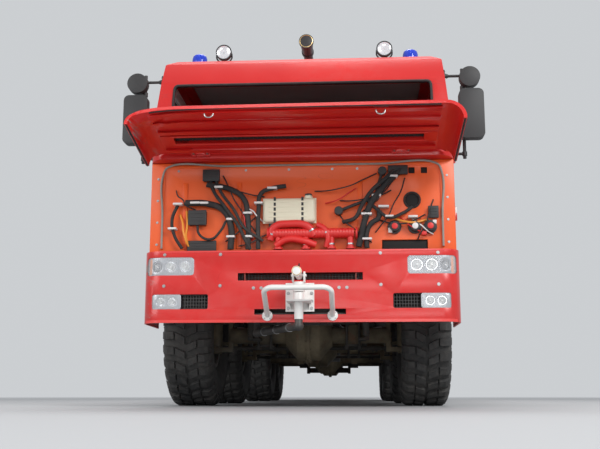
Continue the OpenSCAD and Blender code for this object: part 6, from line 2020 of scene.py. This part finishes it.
print("pad faces:", len(FRONT_CUSHION.polygons), len(BENCH_BACK.polygons))

# %% [markdown]
# ## Inside the cab
# The doors are lined, the dashboard carries dials and switches, and the wheel
# rim has a moulded grip. All of it shows through the open windshield.

# %% Linings of doors, roof and back wall
LATCH_KNOB = [(0, 0.024), (0.014, 0.022), (0.018, 0.010)]
for side, e in SIDES:
    for door, start, end in (("front", 0.372, 1.362), ("crew", 1.962, 2.802)):
        low = 1.475 if door == "crew" else 1.600
        panel = [slab(at(e * 1.1655, start, low), at(e * 1.1795, end, 2.035), 0.006, 3),
                 slab(at(e * 1.1100, start + 0.20, 1.860),
                      at(e * 1.1665, end - 0.22, 1.905), 0.015, 3),
                 disc(at(e * 1.1660, start + 0.14, 1.800), (-e, 0, 0), LATCH_KNOB, 20),
                 slab(at(e * 1.1480, start + 0.135, 1.795),
                      at(e * 1.1540, start + 0.245, 1.812), 0.004, 3)]
        add(f"door_lining_{door}_{side}", panel, "dash", f"{door}_door_{side}")
lining = [slab(at(-1.040, 0.600, 2.8720), at(1.040, 3.540, 2.8845), 0.005, 3),
          slab(at(-1.080, 3.5930, 1.470), at(1.080, 3.6045, 2.800), 0.005, 3)]
lining += both([slab(at(1.1660, 1.430, 1.470), at(1.1795, 1.900, 2.040), 0.005, 3)])
lining += [slab(at(x - 0.16, 0.70, 2.8300), at(x + 0.16, 0.86, 2.8715), 0.016, 4)
           for x in (-0.55, 0.55)]
add("cab_lining", lining, "lining")

# %% Dials and switches on the dashboard
DIAL_NORMAL = Vector((0, 0.537, 0.844))
DASH_TOP = (0.490, 1.9955)
dials, marks, bezels = [], [], []
for x, radius in ((0.515, 0.026), (0.590, 0.034), (0.700, 0.044), (0.800, 0.034), (0.875, 0.026)):
    place = at(x, *DASH_TOP) + DIAL_NORMAL * 0.003
    dials.append(disc(place, DIAL_NORMAL, [(0, radius), (0.002, radius)], 28))
    bezels.append(hoop(place, DIAL_NORMAL, [(-0.003, radius), (0.006, radius),
                                            (0.006, radius + 0.005),
                                            (-0.003, radius + 0.005)], 28))
    hand = slab((-0.001, -0.0007, -0.006), (0.0014, 0.0007, radius * 0.75), 0.0003, 1)
    hand.transform(Matrix.Rotation(x * 5, 4, "X"))
    marks.append(aimed(hand, DIAL_NORMAL, place + DIAL_NORMAL * 0.0035))
add("dash_dials", dials, "black_and_painted_shade")
add("dash_hands", marks, "clip")
rockers = []
for i in range(14):
    key = slab((-0.014, -0.008, 0.0), (0.014, 0.008, 0.009), 0.003, 2)
    tilt = -math.atan2(DIAL_NORMAL.y, DIAL_NORMAL.z)
    rockers.append(moved(key, at(0.330 - 0.042 * i, *DASH_TOP), (tilt, "X")))
rockers += bezels
rockers.append(slab(at(-0.160, 0.330, 2.0305), at(0.160, 0.430, 2.0720), 0.012, 3))
rockers += [slab(at(x, 0.270, 2.0305), at(x + 0.24, 0.300, 2.0370), 0.003, 2)
            for x in (-1.00, -0.66, 0.10, 0.94)]
print("dials:", len(dials))

# %% Pedals, levers, mats and belts
PEDAL_TILT = (math.radians(32), "X")
pads_and_levers = []
for x in (0.60, 0.70, 0.80):
    pads_and_levers.append(tube([at(x, 0.262, 1.700), at(x, 0.330, 1.680),
                                 at(x, 0.400, 1.585)], 0.008, 8))
    foot = [slab((-0.030, -0.006, -0.045), (0.030, 0.006, 0.045), 0.005, 3)]
    foot += [slab((-0.026, 0.006, -0.034 + 0.020 * k),
                  (0.026, 0.009, -0.026 + 0.020 * k), 0.001, 1)
             for k in range(4)]
    pads_and_levers += [moved(part, at(x, 0.408, 1.575), PEDAL_TILT) for part in foot]
pads_and_levers.append(tube([at(0.20, 0.95, 1.640), at(0.20, 0.955, 1.78),
                             at(0.23, 0.93, 1.93)], 0.007, 8))
pads_and_levers.append(tube([at(0.32, 1.10, 1.640), at(0.32, 1.10, 1.72),
                             at(0.32, 1.04, 1.80)], 0.009, 8))
add("pedals_and_levers", pads_and_levers, "steel")
BELLOWS = [(0, 0.055), (0.010, 0.050), (0.016, 0.038), (0.026, 0.040), (0.032, 0.028),
           (0.042, 0.030), (0.048, 0.018), (0.060, 0.016), (0.064, 0.008)]
KNOB = [(0, 0.010), (0.008, 0.020), (0.024, 0.025), (0.040, 0.018), (0.047, 0.0005)]
boots = [disc(at(0.20, 0.95, 1.639), UP, BELLOWS, 24), disc(at(0.232, 0.928, 1.925), UP, KNOB, 20)]
add("lever_boots", boots, "gasket")
mats = both([slab(at(0.423, 0.262, 1.4505), at(1.166, 1.895, 1.4580), 0.003, 2)])
mats.append(slab(at(-1.166, 1.903, 1.4505), at(1.166, 3.590, 1.4580), 0.003, 2))
for i in range(22):
    mats += both([slab(at(0.460 + 0.032 * i, 0.290, 1.4575),
                       at(0.474 + 0.032 * i, 1.020, 1.4610), 0.001, 1)])
mats.append(slab(at(-0.390, 0.580, 1.6400), at(0.390, 1.880, 1.6450), 0.002, 2))
add("floor_mats", mats, "hose")
straps, tongues = [], []
for e in (-1, 1):
    straps.append(slab(at(e * 1.158, 1.436, 1.560), at(e * 1.160, 1.482, 2.420), 0.0005, 1))
    straps.append(slab(at(e * 0.957, 1.232, 1.560), at(e * 0.959, 1.270, 1.790), 0.0005, 1))
    tongues += [slab(at(e * 1.135, 1.424, 1.500), at(e * 1.179, 1.494, 1.600), 0.010, 3),
                slab(at(e * 1.150, 1.430, 2.400), at(e * 1.169, 1.488, 2.445), 0.006, 3),
                slab(at(e * 1.152, 1.440, 1.930), at(e * 1.164, 1.478, 1.985), 0.003, 2),
                slab(at(e * 0.410, 1.180, 1.700), at(e * 0.435, 1.230, 1.860), 0.007, 3)]
for x in (-0.340, -0.300, 0.300, 0.340):
    tongues.append(slab(at(x - 0.014, 3.380, 1.800), at(x + 0.014, 3.425, 1.905), 0.006, 3))
add("belt_straps", straps, "lining")
add("belt_reels_and_buckles", tongues, "plastic")

# %% Grip of the steering wheel
AXIS = Vector((0, 0.643, 0.766))
rim_middle = at(0.700, 0.545, 1.920) + AXIS * 0.170
side_ways = AXIS.cross(Vector(ACROSS))
rim_points = [rim_middle + p.x * Vector(ACROSS) + p.y * side_ways
              for p in circle((0, 0, 0), 0.225, 24)]
rockers.append(tube(rim_points, 0.0172, 12, 3, cyclic=True))
rockers.append(disc(rim_middle - AXIS * 0.010, AXIS,
                    [(0, 0.052), (0.020, 0.052), (0.034, 0.040), (0.038, 0.0005)], 32))
add("dash_controls", rockers, "plastic")

# %% [markdown]
# ## Floor and light
# A pale floor and backdrop under an open sky. The large soft lamp is at the
# truck's front left; weaker ones fill from the right, from above and, low in
# front, under the truck.

# %% Floor and its tone
TONE = (0.60, 0.62, 0.64)


def seen_by_lens(f):
    """One where the camera looks, straight or by a mirror or a glass."""
    path = f.tree.nodes.new("ShaderNodeLightPath")
    seen = Wire(f, path.outputs["Is Camera Ray"])
    for ray in ("Is Glossy Ray", "Is Transmission Ray"):
        seen = seen.most(Wire(f, path.outputs[ray]))
    return seen


def floor_finish():
    """Matt grey that fades, far out, into the tone of the backdrop."""
    f = Finish("pale floor")
    f.set(Base_Color=(0.40, 0.405, 0.41), Roughness=0.8)
    x, y, z = f.axes()
    far = ((x * x + y * y) ** 0.5).ramp(8.0, 24.0)
    tone = f.add("ShaderNodeEmission", {}, {"Color": TONE, "Strength": 1.0})
    shown = f.add("ShaderNodeMixShader", {}, {
        0: seen_by_lens(f) * far, 1: Wire(f, f.shader.outputs[0]), 2: tone})
    f.join(shown, f.tree.nodes["Material Output"].inputs["Surface"])
    return f


form = bmesh.new()
bmesh.ops.create_circle(form, cap_ends=True, radius=150, segments=96)
floor = linked("floor", mesh_of(form, "floor"))
floor.data.materials.append(floor_finish().material)
floor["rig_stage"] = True


# %% Lamps and backdrop
def soft_lamp(name, where, target, size, power):
    """A round area lamp, its size in metres and its power in watts."""
    lamp = linked(name, bpy.data.lights.new(name, "AREA"))
    lamp.location = where
    lamp.data.shape, lamp.data.size = "DISK", size
    lamp.data.energy = power
    aim(lamp, target)


soft_lamp("key", at(7.0, -9.0, 8.0), at(0, 1, 1.4), 5.0, 1150)
soft_lamp("fill", at(-8.0, -7.0, 5.0), at(0, 1, 1.2), 6.0, 420)
soft_lamp("top", at(0, 4.0, 11.0), at(0, 4, 0), 8.0, 900)
soft_lamp("low", at(1.5, -10.5, 2.4), at(0, 0, 0.7), 3.0, 110)
world = bpy.data.worlds.new("sky")
bpy.context.scene.world = world
world.use_nodes = True
sky = Finish.of_tree(world.node_tree)
soft = world.node_tree.nodes["Background"]
soft.inputs["Color"].default_value = (0.86, 0.9, 0.96, 1)
soft.inputs["Strength"].default_value = 0.55
plain = sky.add("ShaderNodeBackground", {}, {"Color": TONE, "Strength": 1.0})
blend = sky.add("ShaderNodeMixShader", {}, {
    0: seen_by_lens(sky), 1: Wire(sky, soft.outputs[0]), 2: plain})
sky.join(blend, world.node_tree.nodes["World Output"].inputs["Surface"])
bpy.context.scene.view_settings.view_transform = "Standard"

# %% Sizes and the end
dressed_box = [list(corner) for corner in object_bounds()]
print("dressed box:", [[round(c, 3) for c in corner] for corner in dressed_box])
